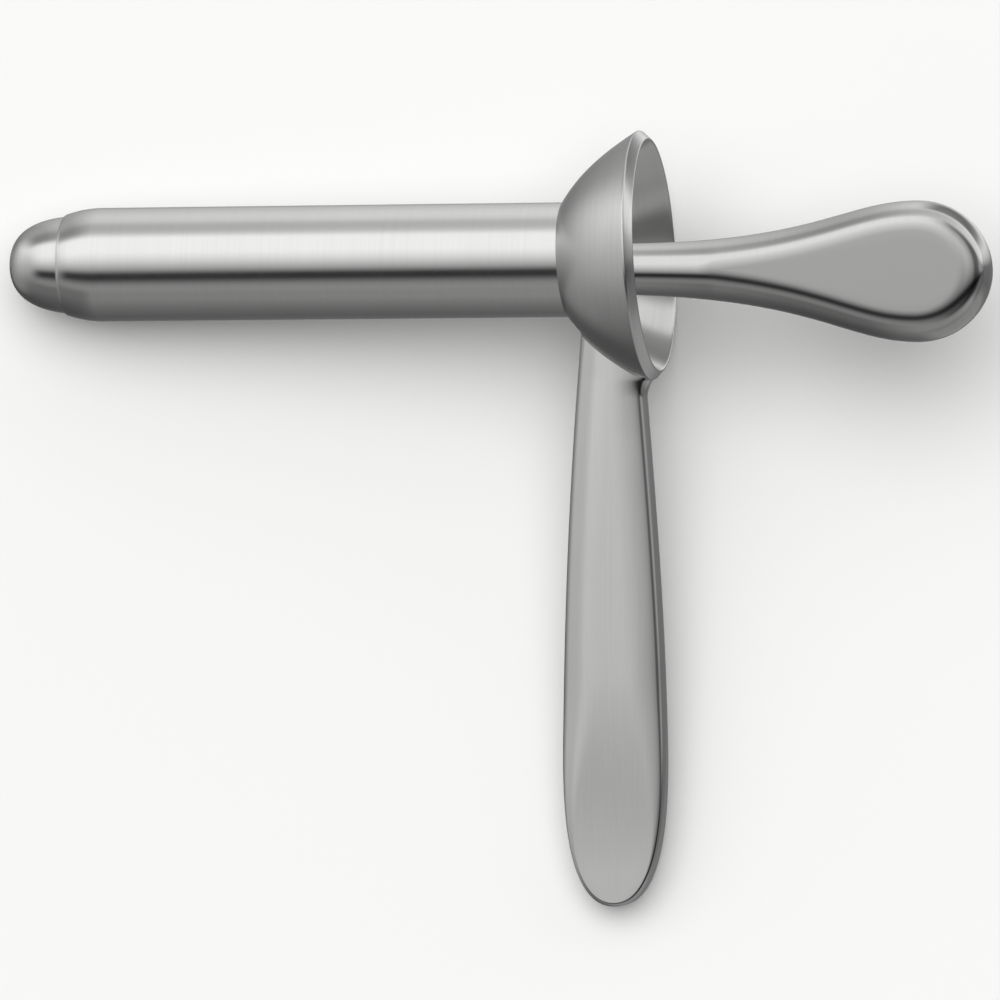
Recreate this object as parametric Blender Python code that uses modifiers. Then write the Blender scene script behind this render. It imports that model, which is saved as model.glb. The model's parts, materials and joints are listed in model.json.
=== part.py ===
"""Tubular anoscope with its obturator seated, in polished stainless steel.

The sheath is a thin round tube with a rolled lip, a flared bowl brazed round its near
end and a flat paddle handle brazed under the bowl. The obturator is a bullet nose, a rod
and a teardrop grip, and it slides out of the tube through the bowl.

Everything is first laid out in the sheath's own axes:
  x runs along the tube, from the plane of the distal lip (0) towards the bowl;
  z points away from the handle, which hangs along -z;
  y is square to the faces of the handle, and the one at -y ends on top.
The last step turns the instrument on to its side, as it comes to rest on a table: on the
distal lip, on the rim of the bowl and on the end of the handle. Lengths are in metres.
"""

import math

import bmesh
import bpy
from mathutils import Matrix, Vector
from mathutils.geometry import interpolate_bezier

# Tube
TUBE_OUTER_RADIUS = 0.0110
TUBE_WALL = 0.0009
TUBE_REACH = 0.0989
LIP_LENGTH = 0.0073
LIP_BORE_LENGTH = 0.0032
LIP_EDGE = 0.0002

# Bowl
BOWL_DEPTH = 0.0169
BOWL_WALL = 0.0018
BOWL_BASE_FLARE = math.radians(57)
BOWL_RIM_FLARE = math.radians(29)
BOWL_FULLNESS = 0.34
BOWL_LEAN = math.radians(2.5)
RIM_RADIUS = 0.0240
RIM_LAND = 0.0022
RIM_ROUND = 0.0008
RIM_INNER_ROUND = 0.0003

# Handle
HANDLE_STATION = 0.1080
HANDLE_REACH = 0.1242
HANDLE_HALF_WIDTH = 0.01008
HANDLE_WIDEST_AT = 0.0930
HANDLE_THICKNESS = 0.0083
HANDLE_EDGE_ROUND = 0.0031
HANDLE_SHOULDER_TURN = math.radians(30)
HANDLE_ROOT_HALF_WIDTH = 0.0065
HANDLE_RIM_FLARE = 0.0020
HANDLE_RIM_FLARE_LENGTH = 0.0034
HANDLE_ROOT_SPLAY = math.radians(4.5)
HANDLE_SIDE_EASE = 0.29
HANDLE_END_FULLNESS = 0.8
HANDLE_END_BLUNTNESS = 0.53

# Nose of the obturator
NOSE_TAPER_LENGTH = 0.0200
NOSE_TAPER_POWER = 3.2
NOSE_BLUNTNESS = 2.47
NOSE_GUIDE_LENGTH = 0.0045
NOSE_TAIL_CHAMFER = 0.0015

# Rod
ROD_RADIUS = 0.0040
TENON_RADIUS = 0.0024
TENON_LENGTH = 0.0070
ROD_CHAMFER = 0.0005

# Grip
NECK_INSET = 0.0100
NECK_RADIUS = 0.0049
NECK_CHAMFER = 0.0008
GRIP_STANDOUT = 0.0654
GRIP_HALF_WIDTH = 0.01345
GRIP_WIDEST_FROM_END = 0.0143
GRIP_THICKNESS = 0.0118
GRIP_NECK_EASE = 0.67
GRIP_BELLY_EASE = 0.24
GRIP_END_FULLNESS = 0.6
GRIP_END_BLUNTNESS = 0.5

# Clearances
BRAZE_GAP = 0.0003
GUIDE_CLEARANCE = 0.0004
SEAT_CATCH = 0.00015
SEAT_GAP = 0.00013
OBTURATOR_DROOP = math.radians(1.0)

# Facets
ROUND_STEPS = 64
ROD_STEPS = 32
LIP_STEPS = 7
LIP_BORE_STEPS = 4
BOWL_STEPS = 9
RIM_STEPS = 4
RIM_INNER_STEPS = 2
NOSE_STEPS = 14
NOSE_TIP_CROWDING = 1.5
EDGE_STEPS = 4
FLARE_STEPS = 4
SIDE_STEPS = 9
END_STEPS = 10
SHARP_ANGLE = math.radians(35)
MERGE = 0.00001
EMPTY_SIZE = 0.02
REST_PASSES = 20

# Sizes that follow from those above
BORE_RADIUS = TUBE_OUTER_RADIUS - TUBE_WALL
GUIDE_RADIUS = BORE_RADIUS - GUIDE_CLEARANCE
LIP_BORE_RADIUS = GUIDE_RADIUS - SEAT_CATCH
LIP_OUTER_RADIUS = LIP_BORE_RADIUS + LIP_EDGE
BOWL_HOLE_RADIUS = TUBE_OUTER_RADIUS + BRAZE_GAP


def clear_scene():
    """Remove every object, so that the file holds nothing but the instrument."""
    for thing in list(bpy.data.objects):
        bpy.data.objects.remove(thing, do_unlink=True)


def new_collection(name):
    """Return a new collection linked to the scene."""
    collection = bpy.data.collections.new(name)
    bpy.context.scene.collection.children.link(collection)
    return collection


def steel(name, grey, roughness):
    """Return a bare stainless steel of its own for one piece."""
    material = bpy.data.materials.new(name)
    material.use_nodes = True
    shader = material.node_tree.nodes["Principled BSDF"]
    shader.inputs["Base Color"].default_value = (grey, grey, grey * 0.985, 1.0)
    shader.inputs["Metallic"].default_value = 1.0
    shader.inputs["Roughness"].default_value = roughness
    return material


def new_empty(name, parent, collection):
    """Return an empty that carries pieces."""
    empty = bpy.data.objects.new(name, None)
    empty.empty_display_size = EMPTY_SIZE
    empty.parent = parent
    collection.objects.link(empty)
    return empty


def make_cutter(thing):
    """Mark an object as a tool that only shapes other pieces."""
    thing.hide_render = True
    thing.display_type = "WIRE"


def round_sweep(centre, radius, first_angle, last_angle, count):
    """Points on a circle from first_angle to last_angle, both ends included."""
    points = []
    for step in range(count + 1):
        angle = first_angle + (last_angle - first_angle) * step / count
        across = centre[0] + radius * math.cos(angle)
        along = centre[1] + radius * math.sin(angle)
        points.append((across, along))
    return points


def turned(name, profile, closed, steps, collection, parent):
    """Turn a profile of (radius, station) points round the parent's x axis.

    The profile runs down the outer side, from the highest station to the lowest.
    """
    mesh = bpy.data.meshes.new(name)
    points = [(radius, 0.0, station) for radius, station in profile]
    edges = [(index, index + 1) for index in range(len(points) - 1)]
    if closed:
        edges.append((len(points) - 1, 0))
    mesh.from_pydata(points, edges, [])
    piece = bpy.data.objects.new(name, mesh)
    piece.rotation_euler = (0.0, math.pi / 2, 0.0)
    piece.parent = parent
    collection.objects.link(piece)
    screw = piece.modifiers.new("turn", "SCREW")
    screw.axis = "Z"
    screw.angle = 2 * math.pi
    screw.steps = steps
    screw.render_steps = steps
    screw.use_merge_vertices = True
    screw.merge_threshold = MERGE
    screw.use_smooth_shade = True
    return piece


def lip_sweep(radius, lip_radius, length, count):
    """Profile from a straight wall, at station length, in to the lip at station 0.

    The curve leaves the wall tangent to it.
    """
    drop = radius - lip_radius
    arc_radius = (length * length + drop * drop) / (2 * drop)
    points = []
    for step in range(count + 1):
        station = length * (1 - step / count)
        fall = arc_radius - math.sqrt(arc_radius ** 2 - (length - station) ** 2)
        points.append((radius - fall, station))
    return points


def bowl_side(start, end):
    """Points after start, up to end, on the side of the bowl: steep at its base, easing out."""
    start = Vector(start)
    end = Vector(end)
    pull = (end - start).length * BOWL_FULLNESS
    leaving = start + pull * Vector((math.sin(BOWL_BASE_FLARE), math.cos(BOWL_BASE_FLARE)))
    arriving = end - pull * Vector((math.sin(BOWL_RIM_FLARE), math.cos(BOWL_RIM_FLARE)))
    points = interpolate_bezier(start, leaving, arriving, end, BOWL_STEPS + 1)
    return [tuple(point) for point in points[1:]]


def bowl_outer_side():
    """Outer side of the bowl, from its base on the tube out to the rim's round."""
    base = (BOWL_HOLE_RADIUS, 0.0)
    return [base] + bowl_side(base, (RIM_RADIUS, BOWL_DEPTH - RIM_ROUND))


def bowl_mouth_station():
    """Station on the bowl's axis where its inner side meets the hole for the tube."""
    return BOWL_WALL / math.sin(BOWL_BASE_FLARE)


def build_tube(collection, parent):
    """The round tube, its far end rolled in to a feathered lip."""
    tube_end = TUBE_REACH + bowl_mouth_station() - BRAZE_GAP
    outer = [(TUBE_OUTER_RADIUS, tube_end)]
    outer += lip_sweep(TUBE_OUTER_RADIUS, LIP_OUTER_RADIUS, LIP_LENGTH, LIP_STEPS)
    inner = lip_sweep(BORE_RADIUS, LIP_BORE_RADIUS, LIP_BORE_LENGTH, LIP_BORE_STEPS)
    inner.reverse()
    inner.append((BORE_RADIUS, tube_end))
    tube = turned("sheath_tube", outer + inner, True, ROUND_STEPS, collection, parent)
    tube.data.materials.append(steel("tube_satin_steel", 0.60, 0.26))
    return tube


def build_bowl(collection, seat):
    """The flared bowl: a hole for the tube, a flaring wall and a thick flat rim."""
    outer = bowl_outer_side()
    outer.reverse()
    rim_centre = (RIM_RADIUS - RIM_ROUND, BOWL_DEPTH - RIM_ROUND)
    inner_rim = (RIM_RADIUS - RIM_LAND + RIM_INNER_ROUND, BOWL_DEPTH - RIM_INNER_ROUND)
    rim = round_sweep(inner_rim, RIM_INNER_ROUND, math.pi, math.pi / 2, RIM_INNER_STEPS)
    rim += round_sweep(rim_centre, RIM_ROUND, math.pi / 2, 0.0, RIM_STEPS)
    mouth = (BOWL_HOLE_RADIUS, bowl_mouth_station())
    inner = [mouth] + bowl_side(mouth, rim[0])
    profile = inner + rim[1:-1] + outer
    bowl = turned("funnel_cup", profile, True, ROUND_STEPS, collection, seat)
    bowl.data.materials.append(steel("cup_satin_steel", 0.58, 0.32))
    return bowl


def build_bowl_cutter(collection, seat):
    """The space that the bowl and the tube's near end take, with the braze gap round it."""
    overrun = LIP_LENGTH + BOWL_DEPTH
    profile = [(0.0, BOWL_DEPTH + overrun), (RIM_RADIUS + BRAZE_GAP, BOWL_DEPTH + overrun)]
    outer = bowl_outer_side()
    outer.reverse()
    profile += [(radius + BRAZE_GAP, station) for radius, station in outer]
    profile[-1] = (BOWL_HOLE_RADIUS, -BRAZE_GAP)
    profile += [(BOWL_HOLE_RADIUS, -overrun), (0.0, -overrun)]
    cutter = turned("bowl_cutter", profile, False, ROUND_STEPS, collection, seat)
    make_cutter(cutter)
    return cutter


def knot(along, out, slope, behind, ahead):
    """One point on the side of a plate: its place, its slope and how far its handles run."""
    point = Vector((along, out))
    way = Vector((1.0, slope))
    return (point, point - way * behind, point + way * ahead)


def tip_knot(along, across):
    """The tip of a plate, on its middle line, which the side meets squarely."""
    point = Vector((along, 0.0))
    return (point, point + Vector((0.0, across)), point)


def side_points(knots, steps, straight):
    """Points down one side of a plate, from its root to its tip, and the way in at each.

    A place is (distance along the plate, distance out from its middle line). The way in is
    straight across for the first few stretches, as many as straight says, and then square
    to the side.
    """
    places = [knots[0][0]]
    for (start, _, leaving), (end, arriving, _), count in zip(knots, knots[1:], steps):
        places += interpolate_bezier(start, leaving, arriving, end, count + 1)[1:]
    points = []
    for index, place in enumerate(places[:-1]):
        way = places[index + 1] - places[max(index - 1, 0)]
        if index <= sum(steps[:straight]):
            way = Vector((1.0, 0.0))
        points.append((place, Vector((way.y, -way.x)).normalized()))
    points.append((places[-1], Vector((-1.0, 0.0))))
    return points


def edge_section(edge_round, shoulder_round, shoulder_turn):
    """Half section of a plate's edge, as (inset, height) from its outermost line to the face.

    It rounds over on edge_round, and on shoulder_round for the last shoulder_turn.
    """
    turn = math.pi / 2 - shoulder_turn
    points = []
    for step in range(EDGE_STEPS + 1):
        angle = turn * step / EDGE_STEPS
        points.append((edge_round * (1 - math.cos(angle)), edge_round * math.sin(angle)))
    inset, height = points[-1]
    for step in range(1, EDGE_STEPS + 1):
        angle = turn + shoulder_turn * step / EDGE_STEPS
        further = shoulder_round * (math.cos(turn) - math.cos(angle))
        higher = shoulder_round * (math.sin(angle) - math.sin(turn))
        points.append((inset + further, height + higher))
    return points


def fitted(points, section, keep_height):
    """Fit a section to each point of a side, so that it stops at the plate's middle line.

    A flat plate keeps its height there, and a round bar gets thinner as it gets slimmer.
    """
    full_inset = section[-1][0]
    room = full_inset
    edges = []
    for place, inward in points:
        if place.y > MERGE:
            room = min(full_inset, place.y / -inward.y)
        fit = room / full_inset
        edges.append((place, inward, fit, 1.0 if keep_height else fit))
    return edges


def half_ring(edge, section, side):
    """One side of a ring round a plate: from its upper face, round the edge, to its lower face."""
    place, inward, inset_fit, height_fit = edge
    upper = []
    for inset, height in reversed(section):
        spot = place + inward * (inset * inset_fit)
        upper.append(Vector((spot.x, -height * height_fit, side * spot.y)))
    lower = [Vector((point.x, -point.y, point.z)) for point in reversed(upper[:-1])]
    return upper + lower


def plate_ring(right, left, section):
    """A closed ring round a plate, with a point on the middle line of each face."""
    near = half_ring(right, section, 1.0)
    far = half_ring(left, section, -1.0)
    far.reverse()
    lower_middle = (near[-1] + far[0]) / 2
    upper_middle = (near[0] + far[-1]) / 2
    return near + [lower_middle] + far + [upper_middle]


def lofted(name, rings, collection, parent):
    """Skin a row of rings, close the first one and join what meets at the tip."""
    mesh = bpy.data.meshes.new(name)
    shape = bmesh.new()
    rows = [[shape.verts.new(point) for point in ring] for ring in rings]
    for row, following in zip(rows, rows[1:]):
        for index in range(len(row)):
            shape.faces.new((row[index - 1], row[index], following[index], following[index - 1]))
    shape.faces.new(rows[0])
    bmesh.ops.remove_doubles(shape, verts=shape.verts, dist=MERGE)
    bmesh.ops.recalc_face_normals(shape, faces=shape.faces)
    shape.to_mesh(mesh)
    shape.free()
    mesh.shade_smooth()
    mesh.set_sharp_from_angle(angle=SHARP_ANGLE)
    piece = bpy.data.objects.new(name, mesh)
    piece.parent = parent
    collection.objects.link(piece)
    return piece


def cut(piece, cutter):
    """Take the cutter's space out of a piece."""
    boolean = piece.modifiers.new("cut_" + cutter.name, "BOOLEAN")
    boolean.operation = "DIFFERENCE"
    boolean.object = cutter
    boolean.solver = "EXACT"


def handle_sides():
    """The two sides of the handle, from the root to the tip, on the same stations.

    The root runs on into the bowl, whose outside then cuts it to a saddle. Under the rim the
    side flares out to meet it, and under the tube it goes straight on.
    """
    root = HANDLE_ROOT_HALF_WIDTH
    flare = HANDLE_RIM_FLARE
    fall = HANDLE_RIM_FLARE_LENGTH
    splay = math.tan(HANDLE_ROOT_SPLAY)
    hidden = TUBE_OUTER_RADIUS - HANDLE_EDGE_ROUND
    under_tube = TUBE_OUTER_RADIUS + BOWL_WALL + fall
    rim_foot = RIM_RADIUS * math.cos(BOWL_LEAN) - BOWL_DEPTH * math.sin(BOWL_LEAN)
    under_rim = rim_foot + fall
    swell = (HANDLE_WIDEST_AT - RIM_RADIUS) * HANDLE_SIDE_EASE
    end_side = (HANDLE_REACH - HANDLE_WIDEST_AT) * HANDLE_END_FULLNESS
    end = [
        knot(HANDLE_WIDEST_AT, HANDLE_HALF_WIDTH, 0.0, swell, end_side),
        tip_knot(HANDLE_REACH, HANDLE_HALF_WIDTH * HANDLE_END_BLUNTNESS),
    ]
    rim_side = [
        knot(hidden, root + flare, 0.0, fall, fall),
        knot(rim_foot, root + flare, -2 * flare / fall, fall / 3, fall / 3),
        knot(under_rim, root, splay, fall / 3, swell),
    ]
    tube_side = [
        knot(hidden, root + (hidden - under_tube) * splay, splay, fall, fall),
        knot(rim_foot, root + (rim_foot - under_tube) * splay, splay, fall / 3, fall / 3),
        knot(under_rim, root + (under_rim - under_tube) * splay, splay, fall / 3, swell),
    ]
    steps = (FLARE_STEPS, FLARE_STEPS, SIDE_STEPS, END_STEPS)
    return side_points(rim_side + end, steps, 3), side_points(tube_side + end, steps, 3)


def build_handle(collection, parent, bowl_cutter):
    """The paddle handle, crowned across, its root cut to a saddle round the bowl and the tube."""
    straight = math.cos(HANDLE_SHOULDER_TURN)
    left_over = HANDLE_THICKNESS / 2 - HANDLE_EDGE_ROUND * straight
    shoulder_round = left_over / (1 - straight)
    section = edge_section(HANDLE_EDGE_ROUND, shoulder_round, HANDLE_SHOULDER_TURN)
    rim_side, tube_side = [fitted(side, section, True) for side in handle_sides()]
    rings = [plate_ring(near, far, section) for near, far in zip(rim_side, tube_side)]
    handle = lofted("sheath_handle", rings, collection, parent)
    handle.location = (HANDLE_STATION, 0.0, 0.0)
    handle.rotation_euler = (0.0, math.pi / 2, 0.0)
    handle.data.materials.append(steel("handle_brushed_steel", 0.60, 0.30))
    cut(handle, bowl_cutter)
    return handle


def nose_radius(depth):
    """Radius of the nose at a distance behind its tip."""
    left = 1 - depth / NOSE_TAPER_LENGTH
    return GUIDE_RADIUS * (1 - left ** NOSE_TAPER_POWER) ** (1 / NOSE_BLUNTNESS)


def nose_standout():
    """How far the tip stands out of the lip when the nose is seated in it."""
    seat_radius = LIP_BORE_RADIUS - SEAT_GAP
    fill = 1 - (seat_radius / GUIDE_RADIUS) ** NOSE_BLUNTNESS
    return NOSE_TAPER_LENGTH * (1 - fill ** (1 / NOSE_TAPER_POWER))


def nose_tail_station():
    """Station of the nose's rear face on the obturator's axis."""
    return NOSE_TAPER_LENGTH + NOSE_GUIDE_LENGTH + NOSE_TAIL_CHAMFER - nose_standout()


def build_nose(collection, axis):
    """The bullet nose: blunt tip, long taper, guide land, chamfered tail and rod socket."""
    tip = -nose_standout()
    tail = nose_tail_station()
    socket_radius = TENON_RADIUS + BRAZE_GAP
    socket_end = tail - TENON_LENGTH - BRAZE_GAP
    profile = [(0.0, socket_end), (socket_radius, socket_end), (socket_radius, tail)]
    profile.append((GUIDE_RADIUS - NOSE_TAIL_CHAMFER, tail))
    profile.append((GUIDE_RADIUS, tail - NOSE_TAIL_CHAMFER))
    for step in range(NOSE_STEPS):
        depth = NOSE_TAPER_LENGTH * math.cos(math.pi / 2 * step / NOSE_STEPS) ** NOSE_TIP_CROWDING
        profile.append((nose_radius(depth), tip + depth))
    profile.append((0.0, tip))
    nose = turned("obturator_nose", profile, False, ROUND_STEPS, collection, axis)
    nose.data.materials.append(steel("nose_polished_steel", 0.58, 0.24))
    return nose


def neck_station():
    """Station on the obturator's axis where the grip's neck ends inside the bowl."""
    return TUBE_REACH + BOWL_DEPTH - NECK_INSET


def build_rod(collection, axis):
    """The rod from the nose to the grip, turned down to a tenon at each end."""
    near = neck_station() - BRAZE_GAP
    far = nose_tail_station() + BRAZE_GAP
    profile = [
        (0.0, near + TENON_LENGTH),
        (TENON_RADIUS - ROD_CHAMFER, near + TENON_LENGTH),
        (TENON_RADIUS, near + TENON_LENGTH - ROD_CHAMFER),
        (TENON_RADIUS, near),
        (ROD_RADIUS - ROD_CHAMFER, near),
        (ROD_RADIUS, near - ROD_CHAMFER),
        (ROD_RADIUS, far + ROD_CHAMFER),
        (ROD_RADIUS - ROD_CHAMFER, far),
        (TENON_RADIUS, far),
        (TENON_RADIUS, far - TENON_LENGTH + ROD_CHAMFER),
        (TENON_RADIUS - ROD_CHAMFER, far - TENON_LENGTH),
        (0.0, far - TENON_LENGTH),
    ]
    rod = turned("obturator_rod", profile, False, ROD_STEPS, collection, axis)
    rod.data.materials.append(steel("rod_drawn_steel", 0.56, 0.30))
    return rod


def bar_edge(station, radius, section):
    """The edge of a round bar at a station on its axis, as fitted gives it."""
    fit = radius / section[-1][0]
    return (Vector((station, radius)), Vector((0.0, -1.0)), fit, fit)


def grip_side():
    """One side of the grip: the swelling neck and the round end."""
    neck = neck_station() + NECK_CHAMFER
    end = TUBE_REACH + BOWL_DEPTH + GRIP_STANDOUT
    belly = end - GRIP_WIDEST_FROM_END
    leave = (belly - neck) * GRIP_NECK_EASE
    arrive = (belly - neck) * GRIP_BELLY_EASE
    end_side = GRIP_WIDEST_FROM_END * GRIP_END_FULLNESS
    knots = [
        knot(neck, NECK_RADIUS, 0.0, leave, leave),
        knot(belly, GRIP_HALF_WIDTH, 0.0, arrive, end_side),
        tip_knot(end, GRIP_HALF_WIDTH * GRIP_END_BLUNTNESS),
    ]
    return side_points(knots, (2 * SIDE_STEPS, 2 * END_STEPS), 0)


def build_grip(collection, axis):
    """The grip: a round bar that swells to a flat teardrop, its neck bored for the tenon."""
    edge_round = GRIP_THICKNESS / 2
    section = edge_section(edge_round, edge_round, math.pi / 4)
    bore = TENON_RADIUS + BRAZE_GAP
    neck = neck_station()
    edges = [
        bar_edge(neck + TENON_LENGTH + BRAZE_GAP, bore, section),
        bar_edge(neck, bore, section),
        bar_edge(neck, NECK_RADIUS - NECK_CHAMFER, section),
    ]
    edges += fitted(grip_side(), section, False)
    rings = [plate_ring(edge, edge, section) for edge in edges]
    grip = lofted("obturator_grip", rings, collection, axis)
    grip.data.materials.append(steel("grip_polished_steel", 0.58, 0.27))
    return grip


def world_points(piece):
    """Corners of a piece's finished mesh, in world space."""
    evaluated = piece.evaluated_get(bpy.context.evaluated_depsgraph_get())
    mesh = evaluated.to_mesh()
    points = [piece.matrix_world @ vertex.co for vertex in mesh.vertices]
    evaluated.to_mesh_clear()
    return points


def table_normal(feet):
    """The way down to the table plane that three pieces touch, one point of each."""
    down = Vector((0.0, 1.0, 0.0))
    for _ in range(REST_PASSES):
        touching = [max(points, key=down.dot) for points in feet]
        first = touching[1] - touching[0]
        second = touching[2] - touching[0]
        normal = first.cross(second).normalized()
        down = normal if normal.y > 0 else -normal
    return down


def lay_down(carrier, pieces, feet):
    """Turn the instrument on its side, with its base centred on the origin at height 0."""
    up = -table_normal([world_points(piece) for piece in feet])
    along = Vector((1.0, 0.0, 0.0))
    along = (along - up * along.dot(up)).normalized()
    across = up.cross(along)
    turn = Matrix((along, across, up)).to_4x4()
    carrier.matrix_world = turn
    bpy.context.view_layer.update()
    points = [point for piece in pieces for point in world_points(piece)]
    low = Vector([min(point[axis] for point in points) for axis in range(3)])
    high = Vector([max(point[axis] for point in points) for axis in range(3)])
    base = Vector(((low.x + high.x) / 2, (low.y + high.y) / 2, low.z))
    carrier.matrix_world = Matrix.Translation(-base) @ turn
    bpy.context.view_layer.update()


def build():
    """Make the whole instrument and lay it on the table."""
    clear_scene()
    parts = new_collection("anoscope")
    cutters = new_collection("anoscope_cutters")
    sheath = new_empty("sheath_axes", None, parts)
    bowl_seat = new_empty("bowl_seat", sheath, parts)
    bowl_seat.location = (TUBE_REACH, 0.0, 0.0)
    bowl_seat.rotation_euler = (0.0, -BOWL_LEAN, 0.0)
    obturator = new_empty("obturator_axes", sheath, parts)
    obturator.rotation_euler = (0.0, OBTURATOR_DROOP, 0.0)
    tube = build_tube(parts, sheath)
    bowl = build_bowl(parts, bowl_seat)
    bowl_cutter = build_bowl_cutter(cutters, bowl_seat)
    handle = build_handle(parts, sheath, bowl_cutter)
    nose = build_nose(parts, obturator)
    rod = build_rod(parts, obturator)
    grip = build_grip(parts, obturator)
    bpy.context.view_layer.update()
    lay_down(sheath, [tube, bowl, handle, nose, rod, grip], [tube, bowl, handle])


build()
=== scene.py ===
"""Looks of a tubular anoscope with its obturator seated, in satin and polished stainless steel.

The pieces are laid out in the sheath's own axes and then carried into the frame's:
  x runs along the tube, from the plane of the distal lip (0) towards the cup;
  z points away from the handle, which hangs along -z;
  y is square to the faces of the handle, and the one at -y lies on top.
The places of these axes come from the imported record. Lengths are in metres.
"""

import json
import logging
import math
from dataclasses import dataclass, field
from enum import Enum
from typing import Any

import bmesh
import bpy
from bmesh.types import BMesh, BMVert
from mathutils import Matrix, Vector
from mathutils.bvhtree import BVHTree
from mathutils.geometry import interpolate_bezier

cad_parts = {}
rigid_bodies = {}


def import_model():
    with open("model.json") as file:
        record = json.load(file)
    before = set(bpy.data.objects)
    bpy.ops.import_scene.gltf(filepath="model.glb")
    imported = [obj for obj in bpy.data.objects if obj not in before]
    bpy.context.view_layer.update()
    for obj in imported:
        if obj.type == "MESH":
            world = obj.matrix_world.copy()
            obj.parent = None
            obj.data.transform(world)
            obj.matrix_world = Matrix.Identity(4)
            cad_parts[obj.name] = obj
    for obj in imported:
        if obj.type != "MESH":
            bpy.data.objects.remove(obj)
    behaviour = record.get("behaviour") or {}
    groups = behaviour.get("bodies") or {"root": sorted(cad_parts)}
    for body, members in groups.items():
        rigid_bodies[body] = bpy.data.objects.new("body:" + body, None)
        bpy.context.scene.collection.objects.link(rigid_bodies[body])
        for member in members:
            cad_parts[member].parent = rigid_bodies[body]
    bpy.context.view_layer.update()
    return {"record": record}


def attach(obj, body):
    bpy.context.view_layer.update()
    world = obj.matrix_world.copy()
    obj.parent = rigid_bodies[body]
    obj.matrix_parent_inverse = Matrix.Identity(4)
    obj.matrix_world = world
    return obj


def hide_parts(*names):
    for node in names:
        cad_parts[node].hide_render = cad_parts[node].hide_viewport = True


LOG = logging.getLogger("anoscope")

MM = 0.001
MERGE = 0.000001
# Rings that are skinned close up at the tip, where their points may lie a little further apart.
SKIN_MERGE = 0.00001
SHARP_ANGLE = math.radians(35)
FULL_TURN = 2 * math.pi

# A Mix node's sockets go by number, because each kind of data has its own under the same names.
MIX_FACTOR = 0
MIX_FLOAT_A, MIX_FLOAT_B, MIX_FLOAT_RESULT = 2, 3, 0
MIX_COLOUR_A, MIX_COLOUR_B, MIX_COLOUR_RESULT = 6, 7, 2

Point = tuple[float, float]
Knot = tuple[Vector, Vector, Vector]
Edge = tuple[Vector, Vector, float, float]
Section = list[Point]


# Finishes


class Grain(Enum):
    """The way that the grit ran over a piece, in the sheath's axes."""

    ROUND = "round the tube"
    ALONG_TUBE = "along the tube"
    ALONG_HANDLE = "along the handle"
    FINE_POLISH = "no one way"


@dataclass(frozen=True)
class Steel:
    """One finish of stainless steel.

    Attributes:
        name: What the finish is, in a maker's words.
        tint: Colour of the bright metal, as an sRGB hex value.
        shade: Colour in its slightly duller marks, as an sRGB hex value.
        smooth: Roughness of its smoothest marks.
        rough: Roughness of its coarsest marks.
        grain: The way its marks run.
        spacing_mm: Distance between marks.
        length_mm: Length of a mark.
        relief_mm: Depth of the marks, as the eye reads it.
        cloud_mm: Size of the soft patches that hand finishing leaves.
        flat_painted_shade_tint: Painted shade on its ground flats, as a darker colour, or nothing
            where they look as the rest does.
        flat_rough: Roughness of the flats.
        flat_from_mm: Height above the middle plane where a flat begins.
        flat_full_mm: Height where it has its full look.
    """

    name: str
    tint: str
    shade: str
    smooth: float
    rough: float
    grain: Grain
    spacing_mm: float
    length_mm: float
    relief_mm: float
    cloud_mm: float
    flat_painted_shade_tint: str = ""
    flat_rough: float = 0.0
    flat_from_mm: float = 0.0
    flat_full_mm: float = 0.0


# Real grit marks lie under 0.05 mm apart, too fine for the render, so every spacing here is as
# coarse as the marks need to show.

# Drawn tube, finished on a lathe with a fine belt: faint rings round it, long clean reflections.
TURNED_TUBE = Steel(
    name="turned_satin_304_steel", tint="#CDCDCC", shade="#C9C9C8", smooth=0.13, rough=0.17,
    grain=Grain.ROUND, spacing_mm=0.45, length_mm=30.0, relief_mm=0.00022, cloud_mm=18.0,
)
# Spun cup, blasted lightly and buffed: the same rings, but softer and greyer reflections.
SPUN_CUP = Steel(
    name="buffed_spun_304_steel", tint="#CCCCCB", shade="#C7C7C6", smooth=0.22, rough=0.27,
    grain=Grain.ROUND, spacing_mm=0.55, length_mm=25.0, relief_mm=0.00025, cloud_mm=12.0,
)
# Forged handle, ground along its length on a belt: even satin faces that hide small dents.
GROUND_HANDLE = Steel(
    name="belt_ground_410_steel", tint="#C7C7C6", shade="#C3C3C2", smooth=0.12, rough=0.16,
    grain=Grain.ALONG_HANDLE, spacing_mm=0.40, length_mm=28.0, relief_mm=0.00022, cloud_mm=16.0,
)
# Turned nose, mopped bright so that it slides in easily: clean reflections, hardly a mark.
MOPPED_NOSE = Steel(
    name="mopped_304_steel", tint="#CBCBCA", shade="#C7C7C6", smooth=0.12, rough=0.15,
    grain=Grain.ROUND, spacing_mm=0.40, length_mm=20.0, relief_mm=0.00015, cloud_mm=10.0,
)
# Cold drawn bar, left as drawn: fine lines along it.
DRAWN_ROD = Steel(
    name="cold_drawn_304_bar", tint="#C6C6C5", shade="#BCBCBB", smooth=0.22, rough=0.28,
    grain=Grain.ALONG_TUBE, spacing_mm=0.30, length_mm=24.0, relief_mm=0.0006, cloud_mm=10.0,
)
# Forged grip, flatted across on a belt and then mopped: bright edges and a rougher face. Its tint
# is darker than the handle's as painted shade, and its flats are darker still as painted shade.
FLATTED_GRIP = Steel(
    name="mopped_forged_410_steel_painted_shade", tint="#BDBDBC", shade="#B9B9B8", smooth=0.10, rough=0.13,
    grain=Grain.ROUND, spacing_mm=0.50, length_mm=22.0, relief_mm=0.00018, cloud_mm=14.0,
    flat_painted_shade_tint="#A9A9A8", flat_rough=0.20, flat_from_mm=5.55, flat_full_mm=5.86,
)
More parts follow.
